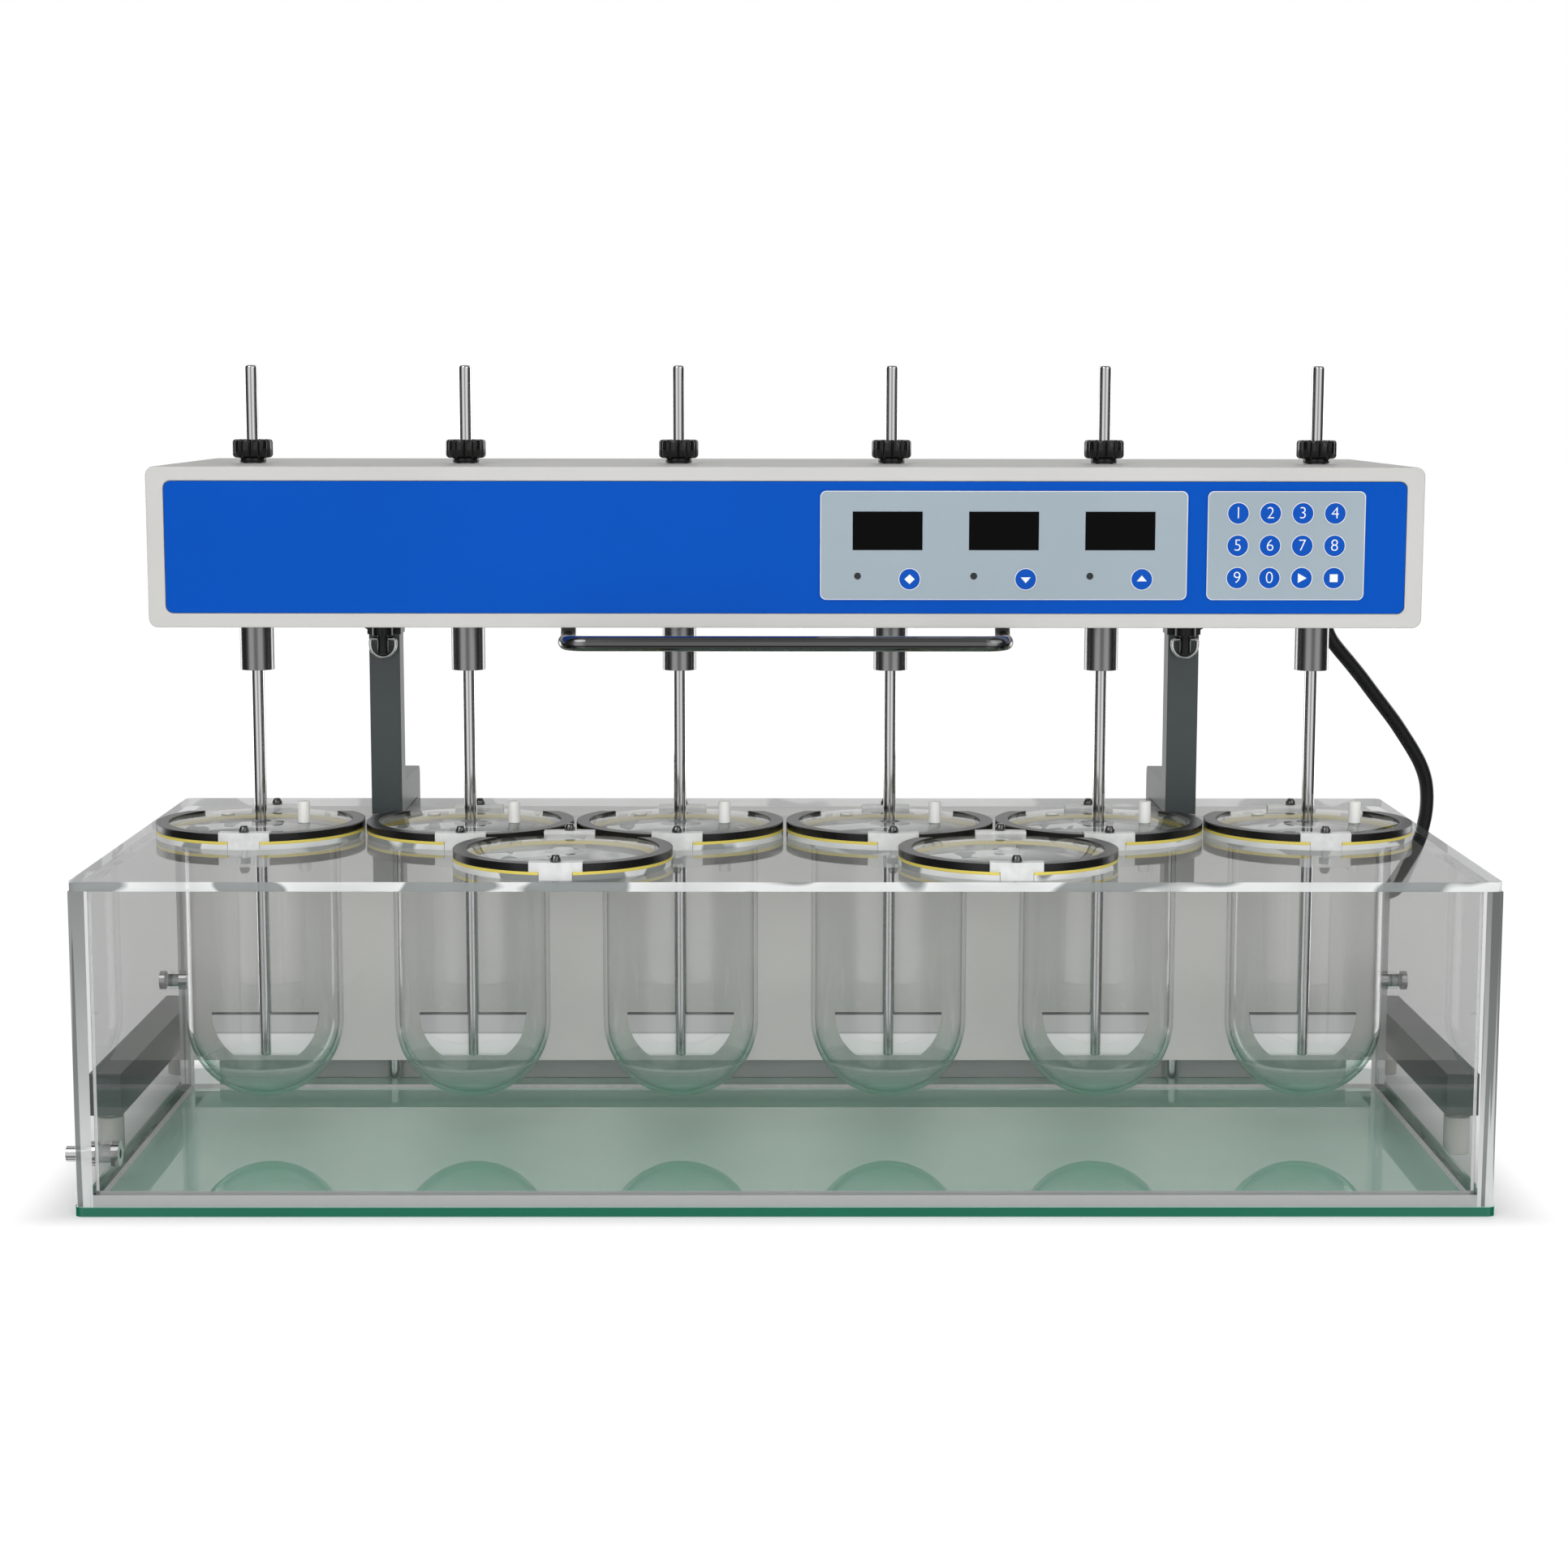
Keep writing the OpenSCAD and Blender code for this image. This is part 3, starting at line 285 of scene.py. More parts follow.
def prism(outline, place, start, end):
    """An outline drawn out from start to end, where place turns a point and a distance into x, y and z."""
    n = len(outline)
    vertices = [place(p, h) for h in (start, end) for p in outline]
    faces = [list(range(n)), [n + k for k in range(n)][::-1]]
    faces += [[k, n + k, n + (k + 1) % n, (k + 1) % n] for k in range(n)]
    return vertices, faces


def plate(outline, y, depth):
    """A flat piece that faces the front: an outline of (x, z) points from y backwards."""
    return prism(outline, lambda p, h: (p[0], h, p[1]), y, y + depth)


def circle(x, z, r, sides=40):
    """Outline of a circle."""
    return [(x + r * math.cos(2 * math.pi * k / sides), z + r * math.sin(2 * math.pi * k / sides))
            for k in range(sides)]


def frame_ring(outer, inner, y, depth):
    """A flat ring that faces the front, between two outlines with equally many points."""
    n = len(outer)
    vertices = [(x, yy, z) for yy in (y, y + depth) for line in (outer, inner) for x, z in line]
    faces = []
    for k in range(n):
        m = (k + 1) % n
        faces += [[k, m, n + m, n + k], [2 * n + k, 3 * n + k, 3 * n + m, 2 * n + m]]
        faces += [[k, 2 * n + k, 2 * n + m, m], [n + k, n + m, 3 * n + m, 3 * n + k]]
    return vertices, faces


def round_box(x, z, w, h, r, steps=6):
    """Outline of a rectangle with round corners."""
    out = []
    for sx, sz, turn in ((1, 1, 0), (-1, 1, 90), (-1, -1, 180), (1, -1, 270)):
        for i in range(steps + 1):
            a = math.radians(turn + 90 * i / steps)
            out.append((x + sx * (w / 2 - r) + r * math.cos(a), z + sz * (h / 2 - r) + r * math.sin(a)))
    return out


def repeated(name, mesh, places, material):
    """A plain mesh with a copy of mesh at each place, made by Geometry Nodes."""
    source = bpy.data.objects.new(name + "_one", mesh)
    dots = bpy.data.meshes.new(name + "_places")
    dots.from_pydata([(x * MM, y * MM, z * MM) for x, y, z in places], [], [])
    holder = bpy.data.objects.new(name + "_holder", dots)
    for o in (source, holder):
        bpy.context.scene.collection.objects.link(o)
    tree = bpy.data.node_groups.new(name + "_repeat", "GeometryNodeTree")
    tree.interface.new_socket(name="Geometry", in_out="OUTPUT", socket_type="NodeSocketGeometry")
    tree.interface.new_socket(name="Places", in_out="INPUT", socket_type="NodeSocketGeometry")
    wanted = (("Piece", "NodeSocketObject", source), ("Finish", "NodeSocketMaterial", material),
              ("Size", "NodeSocketFloat", 1.0))
    given = {}
    for key, kind, value in wanted:
        socket = tree.interface.new_socket(name=key, in_out="INPUT", socket_type=kind)
        given[socket.identifier] = value
    start = tree.nodes.new("NodeGroupInput").outputs
    info = node(tree, "GeometryNodeObjectInfo", {"Object": start["Piece"]})
    put = node(tree, "GeometryNodeInstanceOnPoints", {
        "Points": start["Places"], "Instance": info.outputs["Geometry"], "Scale": start["Size"]})
    real = node(tree, "GeometryNodeRealizeInstances", {"Geometry": put.outputs[0]})
    finish = node(tree, "GeometryNodeSetMaterial", {"Geometry": real.outputs[0], "Material": start["Finish"]})
    tree.links.new(finish.outputs[0], tree.nodes.new("NodeGroupOutput").inputs[0])
    modifier = holder.modifiers.new("Repeat", "NODES")
    modifier.node_group = tree
    for identifier, value in given.items():
        modifier[identifier] = value
    bpy.context.view_layer.update()
    made = bpy.data.meshes.new_from_object(holder.evaluated_get(bpy.context.evaluated_depsgraph_get()))
    made.name = name
    holder.modifiers.remove(modifier)
    for o in (holder, source):
        bpy.data.objects.remove(o)
    bpy.data.node_groups.remove(tree)
    return made


def letters(name, marks, size, y):
    """Flat numerals that face the front: marks are (text, x, z), each centred on its place."""
    parts = []
    for text, x, z in marks:
        curve = bpy.data.curves.new(name + "_" + text, "FONT")
        curve.body = text
        curve.size = size
        curve.align_x = "CENTER"
        curve.align_y = "CENTER"
        curve.extrude = NUMERAL_T * MM
        curve.offset = -NUMERAL_THINNER * MM
        curve.resolution_u = 6
        o = bpy.data.objects.new(name + "_" + text, curve)
        bpy.context.scene.collection.objects.link(o)
        bpy.context.view_layer.update()
        mesh = bpy.data.meshes.new_from_object(o.evaluated_get(bpy.context.evaluated_depsgraph_get()))
        points = [(v.co.x / MM + x, y - v.co.z / MM, v.co.y / MM + z) for v in mesh.vertices]
        parts.append((points, [list(p.vertices) for p in mesh.polygons]))
        bpy.data.objects.remove(o)
        bpy.data.curves.remove(curve)
        bpy.data.meshes.remove(mesh)
    return joined(*parts)


# Nodes

def node(tree, kind, inputs=None, **settings):
    """A new node with its settings, and with values or links on its inputs."""
    made = tree.nodes.new(kind)
    for key, value in settings.items():
        setattr(made, key, value)
    for key, value in (inputs or {}).items():
        if isinstance(value, bpy.types.NodeSocket):
            tree.links.new(value, made.inputs[key])
        else:
            made.inputs[key].default_value = value
    return made


def sum_of(tree, operation, *values, clamp=False):
    """Output of a Math node."""
    made = node(tree, "ShaderNodeMath", dict(enumerate(values)), operation=operation, use_clamp=clamp)
    return made.outputs[0]


def span(tree, value, low=0.0, high=1.0, start=0.0, end=1.0, **settings):
    """A value from low to high as one from start to end."""
    inputs = {"Value": value, "From Min": low, "From Max": high, "To Min": start, "To Max": end}
    return node(tree, "ShaderNodeMapRange", inputs, **settings).outputs[0]


def mixed_colour(tree, share, first, second, kind="MIX"):
    """A colour between two, by a share."""
    return node(tree, "ShaderNodeMix", {"Factor": share, 6: first, 7: second}, data_type="RGBA",
                blend_type=kind).outputs[2]


def mixed_level(tree, share, first, second):
    """A level between two, by a share."""
    return node(tree, "ShaderNodeMix", {"Factor": share, 2: first, 3: second}, data_type="FLOAT").outputs[0]


def mixed_shader(tree, share, first, second):
    """A shader between two, by a share."""
    return node(tree, "ShaderNodeMixShader", {0: share, 1: first, 2: second}).outputs[0]


def ramp(tree, place, stops):
    """Levels or colours along a place from 0 to 1."""
    made = node(tree, "ShaderNodeValToRGB", {"Fac": place})
    points = made.color_ramp.elements
    while len(points) < len(stops):
        points.new(0.5)
    for point, (at, level) in zip(points, stops):
        point.position = at
        point.color = (*level, 1) if isinstance(level, tuple) else (level, level, level, 1)
    return made.outputs[0]


def object_place(tree):
    """Object coordinates as X, Y and Z."""
    place = node(tree, "ShaderNodeTexCoord").outputs["Object"]
    return node(tree, "ShaderNodeSeparateXYZ", {0: place}).outputs


def face_way(tree):
    """The face's direction as X, Y and Z."""
    way = node(tree, "ShaderNodeNewGeometry").outputs["True Normal"]
    return node(tree, "ShaderNodeSeparateXYZ", {0: way}).outputs


def seen_rays(tree):
    """Light Path, and a mask of the rays that see the white background."""
    rays = node(tree, "ShaderNodeLightPath").outputs
    return rays, sum_of(tree, "MAXIMUM", rays["Is Camera Ray"], rays["Is Transmission Ray"])


# Shader groups

def new_group(name, inputs, outputs):
    """An empty shader group with its sockets."""
    tree = bpy.data.node_groups.new(name, "ShaderNodeTree")
    for key, kind, value in inputs:
        tree.interface.new_socket(name=key, in_out="INPUT", socket_type=kind).default_value = value
    for key, kind in outputs:
        tree.interface.new_socket(name=key, in_out="OUTPUT", socket_type=kind)
    return tree, tree.nodes.new("NodeGroupInput").outputs, tree.nodes.new("NodeGroupOutput").inputs


def pulled_place(tree, stretch):
    """Object coordinates, and the same stretched along the axes."""
    place = node(tree, "ShaderNodeTexCoord").outputs["Object"]
    pulled = node(tree, "ShaderNodeVectorMath", {0: place, 1: stretch}, operation="MULTIPLY")
    return place, pulled.outputs[0]


def noise_at(tree, place, scale, detail):
    """Noise at a place."""
    return node(tree, "ShaderNodeTexNoise", {"Vector": place, "Scale": scale, "Detail": detail}).outputs[0]


def grain_group():
    """Fine grain: a roughness and a normal with small noise and rounded edges, and a slow change of shade."""
    found = bpy.data.node_groups.get("fine_grain")
    if found:
        return found
    tree, given, out = new_group(
        "fine_grain",
        [("Scale", "NodeSocketFloat", 900.0), ("Stretch", "NodeSocketVector", (1, 1, 1)),
         ("Roughness", "NodeSocketFloat", 0.4), ("Spread", "NodeSocketFloat", 0.1),
         ("Bump", "NodeSocketFloat", 0.05), ("Edge", "NodeSocketFloat", 0.0004)],
        [("Roughness", "NodeSocketFloat"), ("Normal", "NodeSocketVector"), ("Shade", "NodeSocketFloat")])
    place, pulled = pulled_place(tree, given["Stretch"])
    fine = noise_at(tree, pulled, given["Scale"], 3.0)
    slow = noise_at(tree, place, 9.0, 2.0)
    off = sum_of(tree, "SUBTRACT", fine, 0.5)
    rough = sum_of(tree, "MULTIPLY_ADD", off, given["Spread"], given["Roughness"])
    tree.links.new(rough, out["Roughness"])
    edge = node(tree, "ShaderNodeBevel", {"Radius": given["Edge"]}, samples=4).outputs[0]
    bump = node(tree, "ShaderNodeBump", {
        "Strength": given["Bump"], "Distance": 0.0004, "Height": fine, "Normal": edge})
    tree.links.new(bump.outputs[0], out["Normal"])
    tree.links.new(span(tree, slow, 0.3, 0.7, 0.96, 1.03), out["Shade"])
    return tree


def streak_group():
    """Painted reflections: bright and grey streaks along a polished edge."""
    found = bpy.data.node_groups.get("edge_streaks")
    if found:
        return found
    tree, given, out = new_group(
        "edge_streaks", [("Stretch", "NodeSocketVector", (1, 1, 1))],
        [("Colour", "NodeSocketColor"), ("Density", "NodeSocketFloat")])
    pulled = pulled_place(tree, given["Stretch"])[1]
    noise = noise_at(tree, pulled, 1.0, 1.0)
    tree.links.new(ramp(tree, noise, [(0.43, (0.26, 0.28, 0.28)), (0.46, (0.86, 0.88, 0.88))]), out["Colour"])
    tree.links.new(span(tree, noise, 0.3, 0.7, 0.85, 0.55), out["Density"])
    return tree


# Materials

def blank(name):
    """A new material without nodes, its tree and its Surface socket."""
    material = bpy.data.materials.new(name)
    material.use_nodes = True
    tree = material.node_tree
    tree.nodes.clear()
    return material, tree, tree.nodes.new("ShaderNodeOutputMaterial").inputs["Surface"]


def grained(tree, **values):
    """The outputs of a fine grain with its own values."""
    detail = node(tree, "ShaderNodeGroup", node_tree=grain_group())
    for key, value in values.items():
        detail.inputs[key].default_value = value
    return detail.outputs


def paint(name, colour, rough, metallic=0.0, coat=0.0, grain=900.0, spread=0.1, bump=0.05, stretch=(1, 1, 1),
          edge=0.0005, shine=0.5):
    """An opaque finish with fine grain."""
    material, tree, surface = blank(name)
    detail = grained(tree, Scale=grain, Stretch=stretch, Roughness=rough, Spread=spread, Bump=bump, Edge=edge)
    shade = node(tree, "ShaderNodeHueSaturation", {"Color": (*colour, 1), "Value": detail["Shade"]})
    bsdf = node(tree, "ShaderNodeBsdfPrincipled", {
        "Base Color": shade.outputs[0], "Metallic": metallic, "Roughness": detail["Roughness"],
        "Normal": detail["Normal"], "Coat Weight": coat, "Coat Roughness": 0.08, "Specular IOR Level": shine})
    tree.links.new(bsdf.outputs[0], surface)
    return material


def steel(name, level, rough, grain=400.0, stretch=(1, 1, 0.02), bump=0.03, edge=0.0003):
    """Bright metal with fine lines along its length."""
    return paint(name, (level, level, level * 1.01), rough, 1.0, 0.0, grain, 0.08, bump, stretch, edge)


def blade_steel(name):
    """Plate steel with light painted by height: a painted highlight on its lower part, grey above, a dark
    line where the highlight ends, and a dark upper edge.
    """
    material, tree, surface = blank(name)
    detail = grained(tree, Scale=500.0, Stretch=(0.05, 1, 1), Roughness=0.35, Bump=0.03, Edge=0.0003)
    place = span(tree, object_place(tree)["Z"], Z_BLADE * MM, Z_BLADE_TOP * MM)
    # Painted light by height: a highlight below, a dark line where it ends, grey above and a dark upper edge
    shade = ramp(tree, place, [(0.0, 0.7), (0.08, 0.97), (0.5, 0.95), (0.54, 0.4), (0.57, 0.6), (0.95, 0.58),
                               (0.985, 0.05)])
    bsdf = node(tree, "ShaderNodeBsdfPrincipled", {
        "Base Color": shade, "Metallic": 0.35, "Roughness": detail["Roughness"], "Normal": detail["Normal"]})
    tree.links.new(bsdf.outputs[0], surface)
    return material


def shiny_clear(tree, tint, rough=0.03, graze=None, ior=1.49):
    """Clear sheet: tinted see-through, darker at a flat angle, with a mirror coat on its outer side.
    Light passes it almost untinted."""
    if graze:
        flat = node(tree, "ShaderNodeLayerWeight", {"Blend": 0.5}).outputs["Facing"]
        flat = sum_of(tree, "POWER", flat, 2.0)
        tint = mixed_colour(tree, flat, tint, (graze, graze, graze, 1))
    rays = node(tree, "ShaderNodeLightPath").outputs
    lit = sum_of(tree, "MAXIMUM", rays["Is Shadow Ray"], rays["Is Diffuse Ray"])
    tint = mixed_colour(tree, lit, tint, (0.97, 0.97, 0.97, 1))
    see = node(tree, "ShaderNodeBsdfTransparent", {"Color": tint})
    mirror = node(tree, "ShaderNodeBsdfAnisotropic", {"Roughness": rough})
    fresnel = node(tree, "ShaderNodeFresnel", {"IOR": ior})
    back = node(tree, "ShaderNodeNewGeometry").outputs["Backfacing"]
    front = sum_of(tree, "SUBTRACT", 1.0, back, clamp=True)
    share = sum_of(tree, "MULTIPLY", fresnel.outputs[0], front)
    return mixed_shader(tree, share, see.outputs[0], mirror.outputs[0])


def acrylic(name, tint, stretch, upright=False, graze=0.8):
    """Clear acrylic sheet with bright cut edges. A flat sheet has them round its sides. Upright tank walls
    have them above and below, at the ends of the front and back walls, and at the front wall's foot. The flat
    sheet's edges and the wall ends are coloured with painted reflections, bright and grey streaks, and the
    wall ends carry painted shade that darkens them towards the top."""
    material, tree, surface = blank(name)
    face = shiny_clear(tree, (tint, tint, tint, 1), graze=graze)
    # The edge streaks are painted reflections
    streaks = node(tree, "ShaderNodeGroup", node_tree=streak_group())
    streaks.inputs["Stretch"].default_value = stretch
    colour, density = streaks.outputs["Colour"], streaks.outputs["Density"]
    way = face_way(tree)
    rise = sum_of(tree, "ABSOLUTE", way["Z"])
    is_edge = sum_of(tree, "GREATER_THAN" if upright else "LESS_THAN", rise, 0.5)
    if upright:
        place = object_place(tree)
        out = sum_of(tree, "ABSOLUTE", place["X"])
        far = sum_of(tree, "GREATER_THAN", out, (TANK_X - EDGE_MARGIN) * MM)
        low = sum_of(tree, "LESS_THAN", place["Z"], FOOT_BAND * MM)
        ahead = sum_of(tree, "LESS_THAN", place["Y"], 0.0)
        low = sum_of(tree, "MULTIPLY", low, ahead)
        border = sum_of(tree, "MAXIMUM", far, low)
        across = sum_of(tree, "ABSOLUTE", way["Y"])
        flat = sum_of(tree, "MULTIPLY", across, border)
        is_edge = sum_of(tree, "MAXIMUM", is_edge, flat)
        # Painted shade: the wall ends grow darker towards the top
        up = span(tree, place["Z"], 0.0, 0.21)
        shade = ramp(tree, up, [(0.0, 0.75), (0.25, 0.6), (0.45, 0.42), (0.8, 0.26), (1.0, 0.2)])
        shade = mixed_colour(tree, 1.0, colour, shade, "MULTIPLY")
        colour = mixed_colour(tree, far, (0.42, 0.43, 0.43, 1), shade)
        density = mixed_level(tree, flat, density, 0.86)
    cut = node(tree, "ShaderNodeBsdfDiffuse", {"Color": colour})
    through = node(tree, "ShaderNodeBsdfTransparent", {"Color": (0.9, 0.9, 0.9, 1)})
    edge = mixed_shader(tree, density, through.outputs[0], cut.outputs[0])
    tree.links.new(mixed_shader(tree, is_edge, face, edge), surface)
    return material


def milky(name, colour, share):
    """Clear plastic with a milky body."""
    material, tree, surface = blank(name)
    face = shiny_clear(tree, (0.93, 0.94, 0.94, 1), rough=0.1)
    body = node(tree, "ShaderNodeBsdfDiffuse", {"Color": (*colour, 1)})
    noise = noise_at(tree, node(tree, "ShaderNodeTexCoord").outputs["Object"], 160.0, 2.0)
    much = span(tree, noise, 0.0, 1.0, share - 0.12, share + 0.12)
    tree.links.new(mixed_shader(tree, much, face, body.outputs[0]), surface)
    return material


def vessel_glass(name):
    """Thin clear glass, darker at its outline, with green light from the base painted in its bowl: a green
    tint low down, and a diffuse green body with a lighter line at its top.
    """
    material, tree, surface = blank(name)
    z = object_place(tree)["Z"]
    bottom = (Z_BOWL - VESSEL_R) * MM
    height = span(tree, z, bottom, Z_BLADE * MM)
    facing = node(tree, "ShaderNodeLayerWeight", {"Blend": 0.5}).outputs["Facing"]
    grey = ramp(tree, facing, [
        (0.0, 1.0), (0.6, 0.99), (0.76, 0.95), (0.88, 0.84), (0.96, 0.66), (1.0, 0.45)])
    # Painted light: green from the base glass tints the bowl's outline low down
    green = ramp(tree, facing, [
        (0.0, (0.97, 0.99, 0.98)), (0.6, (0.9, 0.96, 0.94)), (0.85, (0.35, 0.66, 0.55)),
        (1.0, (0.05, 0.3, 0.2))])
    low = ramp(tree, span(tree, z, bottom, Z_GLOW * MM), [(0.0, 1.0), (0.55, 0.85), (1.0, 0.0)])
    clear = shiny_clear(tree, mixed_colour(tree, low, grey, green), rough=0.02, ior=1.9)
    # Painted light: a diffuse body in the bowl, green from the base glass, with a lighter line at its top
    colour = ramp(tree, height, [
        (0.0, (0.32, 0.68, 0.52)), (0.1, (0.26, 0.58, 0.44)), (0.35, (0.34, 0.52, 0.44)),
        (0.7, (0.45, 0.53, 0.49)), (0.93, (0.52, 0.56, 0.54)), (0.95, (0.8, 0.82, 0.81))])
    body = node(tree, "ShaderNodeBsdfDiffuse", {"Color": colour})
    fill = ramp(tree, height, [(0.0, 0.32), (0.9, 0.2), (0.96, 0.28), (0.99, 0.0)])
    tree.links.new(mixed_shader(tree, fill, clear, body.outputs[0]), surface)
    return material


def green_glass(name, top_colour, side_colour):
    """Thick green glass: a mirror-smooth top, and darker edges."""
    material, tree, surface = blank(name)
    detail = grained(tree, Scale=5.0)
    rise = sum_of(tree, "ABSOLUTE", face_way(tree)["Z"])
    side = sum_of(tree, "LESS_THAN", rise, 0.5)
    colour = mixed_colour(tree, side, (*top_colour, 1), (*side_colour, 1))
    shade = node(tree, "ShaderNodeHueSaturation", {"Color": colour, "Value": detail["Shade"]})
    bsdf = node(tree, "ShaderNodeBsdfPrincipled", {
        "Base Color": shade.outputs[0], "Roughness": 0.015, "IOR": 1.5, "Coat IOR": 4.0,
        "Coat Roughness": 0.012, "Coat Weight": sum_of(tree, "SUBTRACT", 1.0, side)})
    tree.links.new(bsdf.outputs[0], surface)
    return material


# Settings in the sidebar

class TesterLook(bpy.types.PropertyGroup):
    """Sizes and colours of the tester."""
    sides: bpy.props.IntProperty(
        name="Sides", description="Sides of the vessels and lids", default=96, min=24, max=192)
    numerals: bpy.props.FloatProperty(
        name="Numerals", description="Type size of the numerals on the keys", default=0.011, min=0.004,
        max=0.014, subtype="DISTANCE", unit="LENGTH")
    seam: bpy.props.FloatProperty(
        name="Seams", description="Size of the glue fillets in the tank", default=0.0022, min=0.0005,
        max=0.004, subtype="DISTANCE", unit="LENGTH")
    acrylic_tint: bpy.props.FloatProperty(
        name="Tank clearness", description="Share of light that a tank wall lets through", default=0.97,
        min=0.7, max=1.0, subtype="FACTOR")
    plate_tint: bpy.props.FloatProperty(
        name="Plate clearness", description="Share of light that the cover plate lets through", default=0.96,
        min=0.7, max=1.0, subtype="FACTOR")
    panel_blue: bpy.props.FloatVectorProperty(
        name="Panel", description="Colour of the front panel", default=(0.0, 0.073, 0.44), size=3,
        min=0.0, max=1.0, subtype="COLOR")
    overlay_grey: bpy.props.FloatVectorProperty(
        name="Overlay", description="Colour of the overlay film", default=(0.32, 0.385, 0.43), size=3,
        min=0.0, max=1.0, subtype="COLOR")
    key_blue: bpy.props.FloatVectorProperty(
        name="Keys", description="Colour of the keys", default=(0.002, 0.075, 0.43), size=3,
        min=0.0, max=1.0, subtype="COLOR")
    head_grey: bpy.props.FloatVectorProperty(
        name="Head", description="Colour of the head's paint", default=(0.54, 0.535, 0.52), size=3,
        min=0.0, max=1.0, subtype="COLOR")
    housing_white: bpy.props.FloatVectorProperty(
        name="Housing", description="Colour of the housing's paint", default=(0.9, 0.875, 0.855), size=3,
        min=0.0, max=1.0, subtype="COLOR")
    frame_grey: bpy.props.FloatVectorProperty(
        name="Frame", description="Colour of the frame and the columns", default=(0.056, 0.068, 0.072),
        size=3, min=0.0, max=1.0, subtype="COLOR")
    base_green: bpy.props.FloatVectorProperty(
        name="Base top", description="Colour of the base glass from above", default=(0.42, 0.76, 0.61),
        size=3, min=0.0, max=1.0, subtype="COLOR")
    base_edge: bpy.props.FloatVectorProperty(
        name="Base edge", description="Colour of the base glass at its edge", default=(0.006, 0.13, 0.075),
        size=3, min=0.0, max=1.0, subtype="COLOR")
    gasket_yellow: bpy.props.FloatVectorProperty(
        name="Gaskets", description="Colour of the gaskets", default=(0.7, 0.58, 0.11), size=3,
        min=0.0, max=1.0, subtype="COLOR")


class TesterStage(bpy.types.PropertyGroup):
    """Camera, room and lamps."""
    focal: bpy.props.FloatProperty(
        name="Focal length", description="Focal length in pixels of the photograph's frame", default=3635.3,
        min=500.0, subtype="PIXEL")
    pitch: bpy.props.FloatProperty(
        name="Tilt", description="Downward tilt of the camera", default=math.radians(7.628),
        subtype="ANGLE", unit="ROTATION")
    yaw: bpy.props.FloatProperty(
        name="Turn", description="Turn of the camera to the right", default=math.radians(0.278),
        subtype="ANGLE", unit="ROTATION")
    roll: bpy.props.FloatProperty(
        name="Roll", description="Roll of the camera", default=math.radians(0.063),
        subtype="ANGLE", unit="ROTATION")
    place: bpy.props.FloatVectorProperty(
        name="Camera", description="Place of the camera", default=(-0.01033, -2.0263, 0.5213), size=3,
        subtype="TRANSLATION", unit="LENGTH")
    world: bpy.props.FloatProperty(
        name="Room", description="Level of the even light from the room", default=0.42, min=0.0, max=1.0,
        subtype="FACTOR")
    strips: bpy.props.FloatProperty(
        name="Strips", description="Level of the bright strips that mirrors show", default=3.2, min=0.0)
    mirrored: bpy.props.FloatProperty(
        name="Back wall", description="Level of the back wall in mirrors, as a share of the strips",
        default=0.24, min=0.0, max=1.0, subtype="FACTOR")
    key: bpy.props.FloatProperty(
        name="Key lamp", description="Power of the lamp above on the left", default=12.0, min=0.0,
        subtype="POWER", unit="POWER")
    fill: bpy.props.FloatProperty(
        name="Fill lamp", description="Power of the lamp above on the right", default=6.0, min=0.0,
        subtype="POWER", unit="POWER")
    front: bpy.props.FloatProperty(
        name="Front lamp", description="Power of the wide lamp in front", default=52.0, min=0.0,
        subtype="POWER", unit="POWER")
    back: bpy.props.FloatProperty(
        name="Back lamp", description="Power of the lamp behind", default=22.0, min=0.0,
        subtype="POWER", unit="POWER")


# Operators

